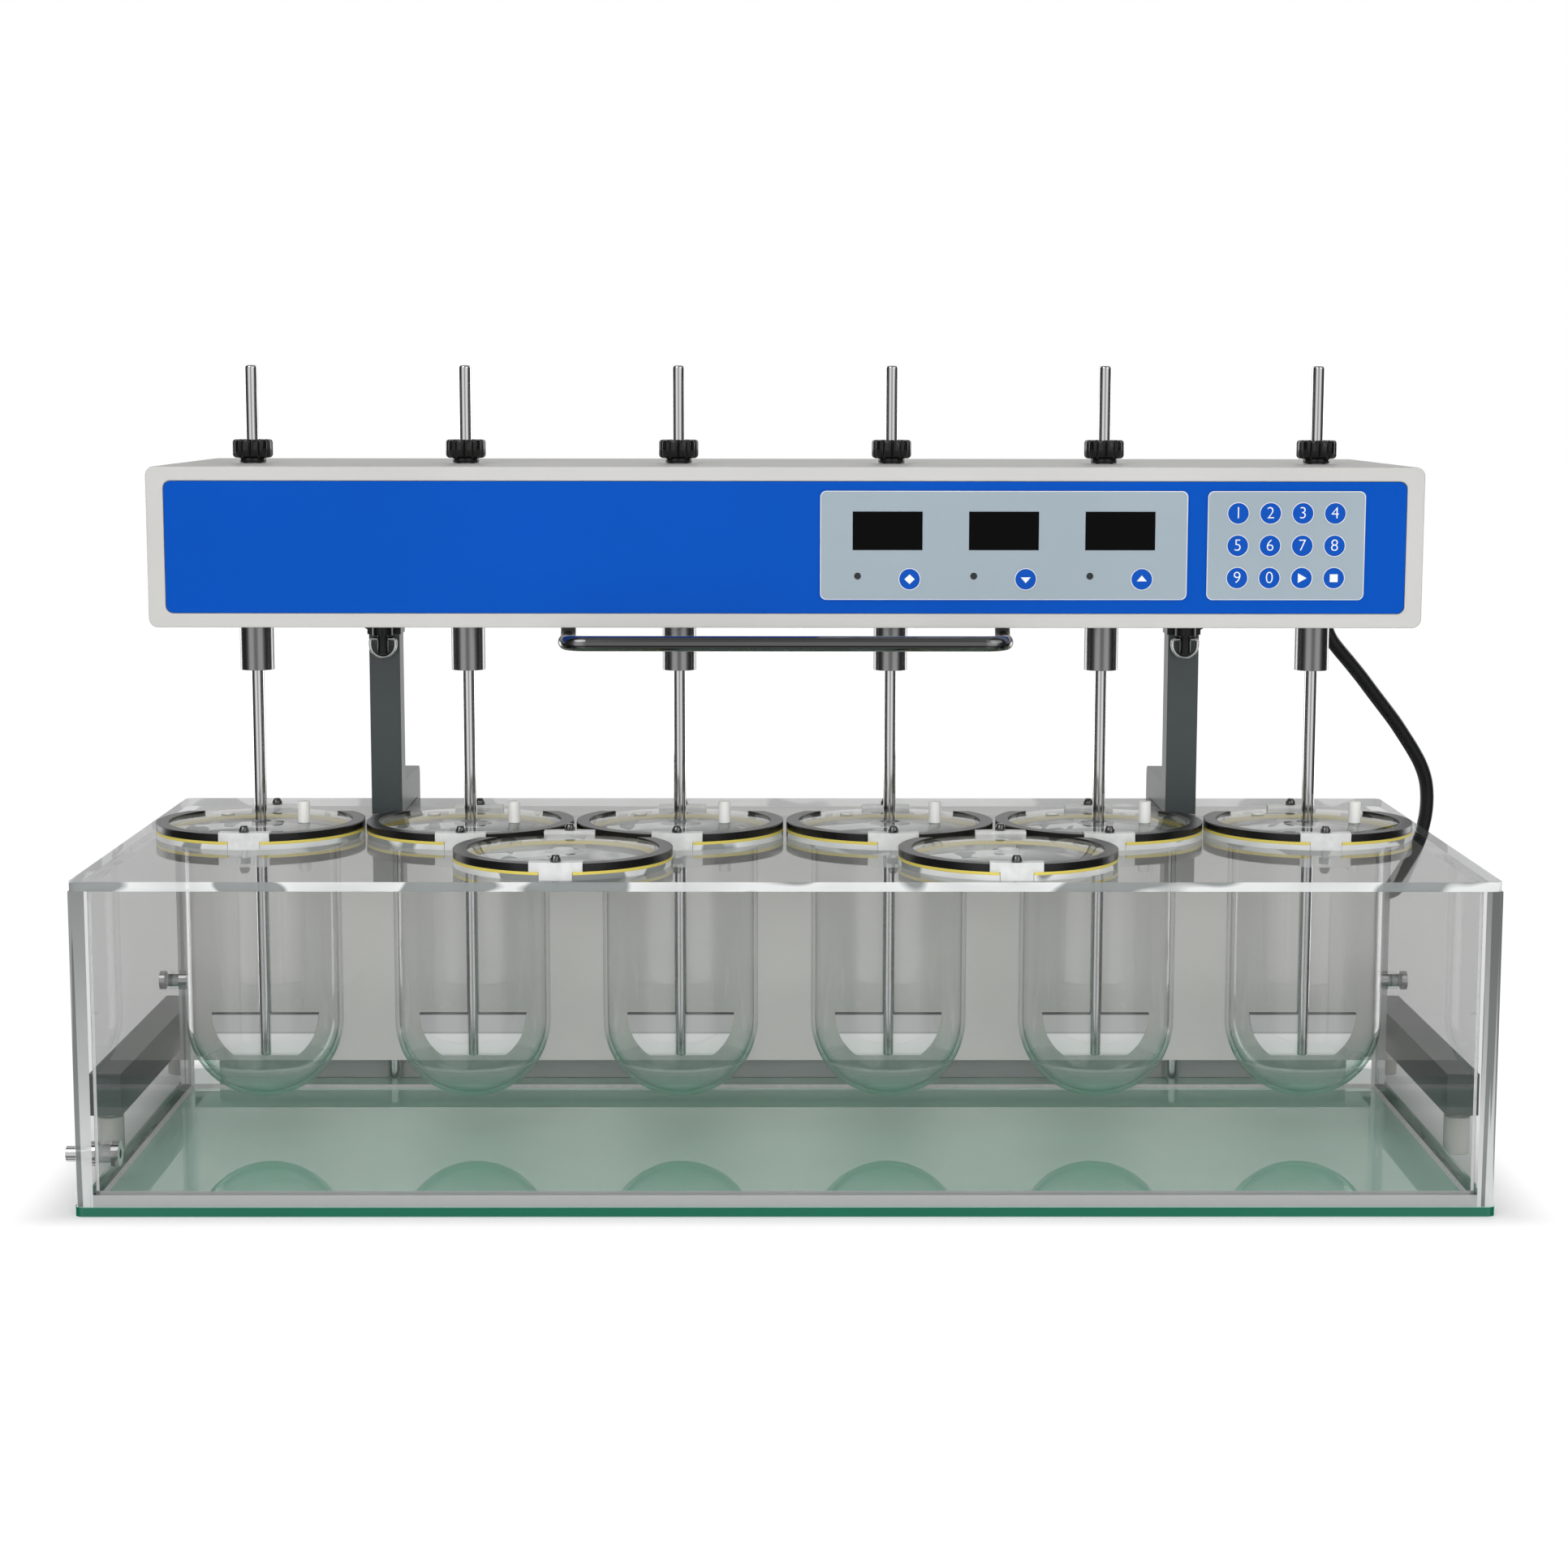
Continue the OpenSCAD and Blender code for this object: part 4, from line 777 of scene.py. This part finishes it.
class TESTER_OT_stage(bpy.types.Operator):
    """Camera, room, floor and lamps"""
    bl_idname = "tester.stage"
    bl_label = "Stage"

    def execute(self, context):
        scene, stage = context.scene, context.scene.tester_stage
        scene.view_settings.view_transform = "Standard"
        scene.cycles.transparent_max_bounces = 64
        scene.cycles.max_bounces = 16
        scene.cycles.glossy_bounces = 8
        self.camera(scene, stage)
        self.world(scene, stage)
        self.floor(scene)
        for name, *values in LAMPS:
            self.lamp(scene, name, getattr(stage, name), *values)
        return {"FINISHED"}

    def camera(self, scene, stage):
        """The photograph's camera."""
        data = bpy.data.cameras.new("camera")
        data.sensor_width = SENSOR_MM
        data.lens = stage.focal / FRAME_PX * SENSOR_MM
        data.clip_start, data.clip_end = 0.05, 60.0
        data.dof.use_dof = False
        o = bpy.data.objects.new("camera", data)
        scene.collection.objects.link(o)
        a, b, r = stage.pitch, stage.yaw, stage.roll
        ahead = Vector((math.sin(b) * math.cos(a), math.cos(b) * math.cos(a), -math.sin(a)))
        right = Vector((math.cos(b), -math.sin(b), 0))
        up = right.cross(ahead)
        right, up = right * math.cos(r) + up * math.sin(r), up * math.cos(r) - right * math.sin(r)
        turn = Matrix((right, up, -ahead)).transposed().to_4x4()
        o.matrix_world = Matrix.Translation(Vector(stage.place)) @ turn
        scene.camera = o

    def world(self, scene, stage):
        """White behind the object, an even light, and for mirrors a room with dark sides and bright strips
        in its back corners."""
        world = bpy.data.worlds.new("room")
        world.use_nodes = True
        tree = world.node_tree
        tree.nodes.clear()
        rays, seen = seen_rays(tree)
        way = node(tree, "ShaderNodeTexCoord").outputs["Generated"]
        way = node(tree, "ShaderNodeSeparateXYZ", {0: way}).outputs
        ahead = sum_of(tree, "MULTIPLY", way["Y"], -1.0)
        aside = sum_of(tree, "ABSOLUTE", way["X"])
        turn = sum_of(tree, "DIVIDE", sum_of(tree, "ARCTAN2", aside, ahead), math.pi)
        walls = ramp(tree, turn, ROOM_TURN + [(at, stage.mirrored) for at in ROOM_BACK])
        bands = ramp(tree, span(tree, way["Z"], -1.0, 1.0), ROOM_RISE)
        room = sum_of(tree, "MULTIPLY", walls, bands)
        room = sum_of(tree, "MULTIPLY", room, stage.strips)
        level = mixed_level(tree, rays["Is Glossy Ray"], stage.world, room)
        light = node(tree, "ShaderNodeBackground", {"Color": (1, 1, 1, 1), "Strength": level})
        white = node(tree, "ShaderNodeBackground", {"Color": (1, 1, 1, 1), "Strength": 1.0})
        shown = mixed_shader(tree, seen, light.outputs[0], white.outputs[0])
        tree.links.new(shown, tree.nodes.new("ShaderNodeOutputWorld").inputs["Surface"])
        scene.world = world

    def floor(self, scene):
        """White to the eye, with the object's shadow under it and close to it."""
        mesh = bpy.data.meshes.new("floor")
        corners = ((-FLOOR_X, FLOOR_FRONT), (FLOOR_X, FLOOR_FRONT),
                   (FLOOR_X, FLOOR_BACK), (-FLOOR_X, FLOOR_BACK))
        mesh.from_pydata([(x, y, FLOOR_Z) for x, y in corners], [], [(0, 1, 2, 3)])
        floor = bpy.data.objects.new("floor", mesh)
        scene.collection.objects.link(floor)
        floor.visible_glossy = False
        material, tree, surface = blank("floor_white")
        seen = seen_rays(tree)[1]
        place = object_place(tree)
        under = 1.0
        for axis, near, far in SHADOW_EDGES:
            out = sum_of(tree, "ABSOLUTE", place[axis])
            inside = span(tree, out, near, far, 1.0, 0.0, interpolation_type="SMOOTHSTEP")
            under = sum_of(tree, "MULTIPLY", inside, under)
        bare = span(tree, under, 0.0, 1.0, FLOOR_BARE, FLOOR_UNDER)
        share = sum_of(tree, "MULTIPLY", seen, bare)
        matte = node(tree, "ShaderNodeBsdfDiffuse", {"Color": (0.95, 0.95, 0.95, 1)})
        glow = node(tree, "ShaderNodeEmission", {"Color": (1, 1, 1, 1), "Strength": FLOOR_WHITE})
        tree.links.new(mixed_shader(tree, share, matte.outputs[0], glow.outputs[0]), surface)
        mesh.materials.append(material)

    def lamp(self, scene, name, power, size, place, aim, mirrored):
        """A round soft lamp that looks at a point and shows in mirrors or not."""
        data = bpy.data.lights.new(name, "AREA")
        data.energy, data.shape, data.size = power, "DISK", size
        o = bpy.data.objects.new(name, data)
        scene.collection.objects.link(o)
        o.location, o.visible_glossy = place, mirrored
        o.rotation_euler = (Vector(aim) - Vector(place)).to_track_quat("-Z", "Y").to_euler()


class TESTER_OT_lead(bpy.types.Operator):
    """The lead between the head and the housing"""
    bl_idname = "tester.lead"
    bl_label = "Head lead"

    def execute(self, context):
        line = smooth_line(LEAD_ROUTE, LEAD_STEPS)
        black = paint("lead_jacket", (0.008, 0.008, 0.009), 0.4, grain=700.0, spread=0.2, bump=0.08,
                      shine=0.35)
        mesh = finish_mesh("head_lead", *tube(line, LEAD_R, LEAD_SIDES), angle=60)
        lead = show(mesh, "head_lead", black, None, ["head_cable"])
        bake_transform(lead)
        return {"FINISHED"}


class TESTER_OT_bath(bpy.types.Operator):
    """Tank, cover plate, base, housing, frame and columns"""
    bl_idname = "tester.bath"
    bl_label = "Bath, housing and frame"

    def execute(self, context):
        look = context.scene.tester_look
        dress(acrylic("tank_acrylic", look.acrylic_tint, (260, 30, 3), upright=True, graze=0.58),
              "water_tank")
        dress(acrylic("plate_acrylic", look.plate_tint, (15, 15, 30)), "cover_plate")
        dress(green_glass("base_glass", look.base_green, look.base_edge), "base_glass")
        dress(paint("housing_paint", look.housing_white, 0.5, grain=1400.0, bump=0.04, shine=0.2),
              "rear_housing", "rear_cover")
        dress(paint("heater_case", (0.07, 0.075, 0.08), 0.45, metallic=0.3), "bath_heater")
        dress(paint("frame_paint", look.frame_grey, 0.3, grain=1200.0, bump=0.06, edge=0.0008),
              "base_frame", "support_columns")
        dress(paint("foot_nylon", (0.87, 0.86, 0.82), 0.5, grain=600.0, bump=0.08, edge=0.0012),
              "levelling_feet")
        dress(steel("fitting_chrome", 0.75, 0.14), "tank_fittings")
        dress(paint("inlet_plastic", (0.02, 0.02, 0.022), 0.4, grain=1000.0, bump=0.1),
              "power_inlet", "power_switch")
        self.seams(look.seam / MM)
        # A grey strip under the housing stands in as painted shade for the dark gap beneath it
        shade_strip_finish = paint("skirt_rubber", (0.4, 0.42, 0.41), 0.5, grain=500.0, bump=0.1)
        outline = round_box(0, SHADE_STRIP_Z, SHADE_STRIP_W, SHADE_STRIP_H, SHADE_STRIP_CORNER)
        strip = finish_mesh("housing_skirt", *plate(outline, SHADE_STRIP_Y, SHADE_STRIP_D))
        show(strip, "housing_skirt", shade_strip_finish, "stand")
        return {"FINISHED"}

    def seams(self, r):
        """Glue fillets along the tank's inner bottom edges and upright corners."""
        w, y0, y1, z0, z1 = TANK_X, TANK_FRONT, TANK_BACK, Z_BASE, Z_UNDER_PLATE
        walls = ((y0, 1), (y1, -1))
        parts = []
        for x, sx in ((-w, 1), (w, -1)):
            for y, sy in walls:
                corner = [(x, y), (x + sx * r, y), (x, y + sy * r)]
                parts.append(prism(corner, lambda p, h: (p[0], p[1], h), z0, z1))
            corner = [(x, z0), (x + sx * r, z0), (x, z0 + r)]
            parts.append(prism(corner, lambda p, h: (p[0], h, p[1]), y0, y1))
        for y, sy in walls:
            corner = [(y, z0), (y + sy * r, z0), (y, z0 + r)]
            parts.append(prism(corner, lambda p, h: (h, p[0], p[1]), -w, w))
        glue = milky("seam_glue", (0.85, 0.86, 0.86), 0.6)
        show(finish_mesh("tank_seams", *joined(*parts)), "tank_seams", glue, "stand")


class TESTER_OT_stations(bpy.types.Operator):
    """Vessels, lids, rims and clamp screws"""
    bl_idname = "tester.stations"
    bl_label = "Vessels, lids and rims"

    def execute(self, context):
        look = context.scene.tester_look
        self.vessels(look.sides)
        self.lids(look.sides)
        dress(paint("rim_rubber", (0.006, 0.006, 0.006), 0.3, grain=600.0, spread=0.15, bump=0.06,
                    edge=0.0016, shine=0.35), "rim_rings")
        dress(paint("gasket_silicone", look.gasket_yellow, 0.5, grain=300.0, bump=0.1), "gaskets")
        dress(milky("clamp_acrylic", (0.9, 0.91, 0.91), 0.62), "rim_clamps")
        dress(acrylic("seat_acrylic", 0.9, (26, 26, 30)), "seat_rings")
        self.screws()
        return {"FINISHED"}

    def vessels(self, sides):
        """Round-bottomed vessels with a flange."""
        turn = [math.radians(90 * i / 24) for i in range(25)]
        outside, inside = ([(r * math.sin(a), Z_BOWL - r * math.cos(a)) for a in turn]
                           for r in (VESSEL_R, VESSEL_BORE))
        z_wall = Z_BOWL + 2
        flange = rounded([(VESSEL_R, z_wall), (VESSEL_R, Z_PLATE), (FLANGE_R, Z_PLATE), (FLANGE_R, Z_FLANGE),
                          (VESSEL_BORE, Z_FLANGE), (VESSEL_BORE, z_wall)], 0.8)
        outline = outside + flange + inside[::-1]
        one = finish_mesh("vessel", *sweep_round(outline, sides=sides), angle=50)
        glass = vessel_glass("vessel_glass")
        mesh = repeated("vessels_glass", one, [(x, Y_ROW, 0) for x in SPINDLE_X], glass)
        show(mesh, "vessels_glass", glass, "stand", ["vessels"])

    def lids(self, sides):
        """Slotted lids, with a stopper and a plug on those over the vessels."""
        clear = acrylic("lid_acrylic", 0.965, (60, 60, 160))
        white = paint("stopper_white", (0.85, 0.85, 0.83), 0.45, grain=500.0, bump=0.05, edge=0.0006)
        half = LID_T / 2
        disc = rounded([(LID_BORE, half), (LID_BORE, LID_T), (LID_R, LID_T), (LID_R, 0), (LID_BORE, 0),
                        (LID_BORE, half)], 0.35, 2)[:-1]
        stopper = rounded([(0, 15), (4.15, 15), (4.15, 0), (0, 0)], 0.7)
        plug = rounded([(0, 1.2), (4.5, 1.2), (4.5, 0), (0, 0)], 0.4)
        for i, (x, y) in enumerate(STATIONS, 1):
            name, body = f"lid_disc_{i}", f"lid_{i}"
            shape = sweep_round(disc, (x, y, Z_LID), sides, LID_START, LID_TURN, closed=True)
            show(finish_mesh(name, *shape), name, clear, body, [body])
            if i > VESSELS:
                continue
            name = f"lid_plugs_{i}"
            parts = [sweep_round(outline, (x + dx, y + dy, Z_LID + LID_T + STOPPER_SEAT), 40)
                     for outline, (dx, dy) in ((stopper, STOPPER_PLACE), (plug, PLUG_PLACE))]
            show(finish_mesh(name, *joined(*parts)), name, white, body)

    def screws(self):
        """Clamp screws at all stations, and the nuts that show under the vessels' stations."""
        dark = steel("screw_steel", 0.18, 0.2, edge=0.0002)
        dome = rounded([(0, 4.6), (2.2, 4.6), (3.5, 2.4), (3.5, 0), (2, 0), (2, NUT_TOP), (0, NUT_TOP)], 0.7)
        nut = [(0, NUT_TOP), (4, NUT_TOP), (4, NUT_LOW), (0, NUT_LOW)]
        one = finish_mesh("screw", *sweep_round(dome, sides=28))
        under = finish_mesh("nut", *sweep_round(nut, sides=6))
        heads = [(x, y + s * SCREW_OUT, Z_CLAMP) for x, y in STATIONS for s in (-1, 1)]
        mesh = repeated("clamp_screw_set", one, heads, dark)
        show(mesh, "clamp_screw_set", dark, "stand", ["clamp_screws"])
        mesh = repeated("clamp_nut_set", under, heads[:2 * VESSELS], dark)
        show(mesh, "clamp_nut_set", dark, "stand")


class TESTER_OT_drive(bpy.types.Operator):
    """Shafts with blades, knobs, spindles and their drive"""
    bl_idname = "tester.drive"
    bl_label = "Shafts, knobs and spindles"

    def execute(self, context):
        bright = steel("shaft_steel", 0.66, 0.1)
        turned = steel("spindle_steel", 0.28, 0.22, grain=900.0, stretch=(0.05, 0.05, 1), bump=0.06)
        blade = blade_steel("blade_steel")
        gloss = paint("knob_plastic", (0.004, 0.004, 0.004), 0.2, coat=0.25, grain=500.0, spread=0.08,
                      bump=0.01, shine=0.3)
        for i, x in enumerate(SPINDLE_X, 1):
            self.shaft(i, x, bright, blade)
            self.knob(i, x, gloss)
            dress(turned, f"spindle_{i}")
        dress(turned, "spindle_bearings", "motor_pulley")
        dress(paint("motor_case", (0.02, 0.02, 0.02), 0.5), "drive_motor")
        dress(paint("belt_rubber", (0.015, 0.015, 0.015), 0.6), "drive_belt")
        return {"FINISHED"}

    def shaft(self, i, x, metal, plate_metal):
        """A round-ended shaft and its paddle blade."""
        name, body = f"shaft_rod_{i}", f"shaft_{i}"
        rod = rounded([(0, SHAFT_TOP), (SHAFT_R, SHAFT_TOP), (SHAFT_R, Z_BLADE), (0, Z_BLADE)], 3.0, 6)
        rod = sweep_round(rod, (x, Y_ROW, 0), 48)
        show(finish_mesh(name, *rod), name, metal, body, [body])
        name, reach = f"shaft_blade_{i}", math.asin((Z_BLADE_TOP - Z_BLADE) / BLADE_R)
        outline = [(x + BLADE_R * math.cos(a), Z_BLADE_TOP - BLADE_R * math.sin(a))
                   for a in [reach * k / 16 for k in range(17)]]
        outline += [(2 * x - px, pz) for px, pz in outline[::-1]]
        blade = finish_mesh(name, *plate(outline, Y_ROW - BLADE_T / 2, BLADE_T), angle=20)
        show(blade, name, plate_metal, body)

    def knob(self, i, x, material):
        """A grooved clamp knob on its neck."""
        name, body = f"knob_grip_{i}", f"knob_{i}"
        neck = sweep_round(rounded(KNOB_NECK, 0.5), (x, Y_ROW, 0), 48)
        count, vertices, faces = KNOB_SIDES, [], []
        for radius, deep, z in KNOB_LEVELS:
            for k in range(count):
                a = 2 * math.pi * k / count
                r = radius - max(0.0, math.cos(KNOB_GROOVES * a)) ** 3 * GROOVE_DEEP * deep
                vertices.append((x + r * math.cos(a), Y_ROW + r * math.sin(a), z))
        for j in range(len(KNOB_LEVELS) - 1):
            for k in range(count):
                n = (k + 1) % count
                faces.append([j * count + k, j * count + n, (j + 1) * count + n, (j + 1) * count + k])
        grip = finish_mesh(name, *joined(neck, (vertices, faces)), angle=40)
        show(grip, name, material, body, [body])


class TESTER_OT_head(bpy.types.Operator):
    """Head case, panel, displays, keys and handle"""
    bl_idname = "tester.head"
    bl_label = "Head and controls"

    def execute(self, context):
        look = context.scene.tester_look
        dress(paint("head_paint", look.head_grey, 0.45, grain=1500.0, bump=0.05, edge=0.0014, shine=0.3),
              "head_shell")
        dress(paint("panel_blue", look.panel_blue, 0.5, grain=1600.0, bump=0.02, shine=0.06), "front_panel")
        dress(paint("overlay_film", look.overlay_grey, 0.5, grain=2000.0, bump=0.02, edge=0.0003, shine=0.15),
              "control_overlay")
        dress(paint("display_black", (0.002, 0.002, 0.002), 0.3, bump=0.0, shine=0.06), "display_windows")
        dress(steel("handle_steel", 0.25, 0.14, stretch=(0.02, 1, 1)), "lift_handle")
        dress(steel("post_steel", 0.6, 0.3), "inner_posts")
        self.controls(look)
        return {"FINISHED"}

    def controls(self, look):
        """Keys with plain numerals and signs, lamp dots, and the light borders of the overlay."""
        key_y = Y_FILM - KEY_PROUD
        blue = paint("key_blue", look.key_blue, 0.5, grain=1500.0, bump=0.02, shine=0.08)
        white = paint("print_white", (0.8, 0.83, 0.86), 0.5, grain=1500.0, bump=0.02)
        dark = paint("print_dark", (0.015, 0.016, 0.02), 0.5, grain=1500.0, bump=0.02)
        keys = [(KEYPAD_X + (c - 1.5) * KEY_STEP, FILM_Z - (r - 1) * KEY_STEP)
                for r in range(3) for c in range(4)]
        arrows, lamps = ([(DISPLAY_X + k * WINDOW_STEP + dx, FILM_Z + dz) for k in (-1, 0, 1)]
                         for dx, dz in (ARROW_PLACE, DOT_PLACE))
        cap = finish_mesh("key_cap", *plate(circle(0, 0, KEY_R), 0, CAP_T))
        ring = finish_mesh("key_ring", *frame_ring(circle(0, 0, KEY_RING_R), circle(0, 0, KEY_R), 0, CAP_T))
        spots = [(x, key_y - PRINT_T, z) for x, z in keys + arrows]
        show(repeated("key_caps", cap, spots, blue), "key_caps", blue, "head")
        show(repeated("key_rings", ring, spots, white), "key_rings", white, "head")
        marks = [(str((k + 1) % 10), x, z) for k, (x, z) in enumerate(keys[:10])]
        ink = [letters("numeral", marks, look.numerals, key_y - NUMERAL_OUT)]
        for (x, z), sign in zip(keys[10:] + arrows, SIGNS):
            ink.append(plate([(x + dx, z + dz) for dx, dz in sign], key_y - 2 * PRINT_T, PRINT_T))
        for x, w in ((DISPLAY_X, DISPLAY_W), (KEYPAD_X, KEYPAD_W)):
            outer = round_box(x, FILM_Z, w, FILM_H, FILM_CORNER)
            inner = round_box(x, FILM_Z, w - BORDER_W, FILM_H - BORDER_W, BORDER_CORNER)
            ink.append(frame_ring(outer, inner, Y_FILM - BORDER_OUT, PRINT_T))
        show(finish_mesh("print_light", *joined(*ink)), "print_light", white, "head")
        dots = [plate(circle(x, z, DOT_R, 24), Y_FILM - PRINT_T, DOT_T) for x, z in lamps]
        show(finish_mesh("lamp_dots", *joined(*dots)), "lamp_dots", dark, "head")


class TESTER_OT_locks(bpy.types.Operator):
    """Collars, plungers and pull rings"""
    bl_idname = "tester.locks"
    bl_label = "Locks"

    def execute(self, context):
        black = paint("lock_plastic", (0.006, 0.006, 0.007), 0.3, coat=0.1, grain=700.0, bump=0.03,
                      edge=0.0008, shine=0.3)
        dress(black, "lock_collars", "plunger_left", "plunger_right")
        dress(steel("ring_chrome", 0.8, 0.12), "pull_ring_left", "pull_ring_right")
        return {"FINISHED"}


class TESTER_PT_panel(bpy.types.Panel):
    """Settings and steps of the tester"""
    bl_idname = "TESTER_PT_panel"
    bl_label = "Tester"
    bl_space_type = "VIEW_3D"
    bl_region_type = "UI"
    bl_category = "Tester"

    def draw(self, context):
        for group in (context.scene.tester_look, context.scene.tester_stage):
            for key in group.__annotations__:
                self.layout.prop(group, key)
        for step in STEPS:
            self.layout.operator("tester." + step)


STEPS = ("stage", "lead", "bath", "stations", "drive", "head", "locks")
CLASSES = (TesterLook, TesterStage, TESTER_OT_stage, TESTER_OT_lead, TESTER_OT_bath, TESTER_OT_stations,
           TESTER_OT_drive, TESTER_OT_head, TESTER_OT_locks, TESTER_PT_panel)


def register():
    for item in CLASSES:
        bpy.utils.register_class(item)
    bpy.types.Scene.tester_look = bpy.props.PointerProperty(type=TesterLook)
    bpy.types.Scene.tester_stage = bpy.props.PointerProperty(type=TesterStage)


def unregister():
    del bpy.types.Scene.tester_stage
    del bpy.types.Scene.tester_look
    for item in reversed(CLASSES):
        bpy.utils.unregister_class(item)


def main():
    register()
    for step in STEPS:
        getattr(bpy.ops.tester, step)()


if __name__ == "__main__":
    main()
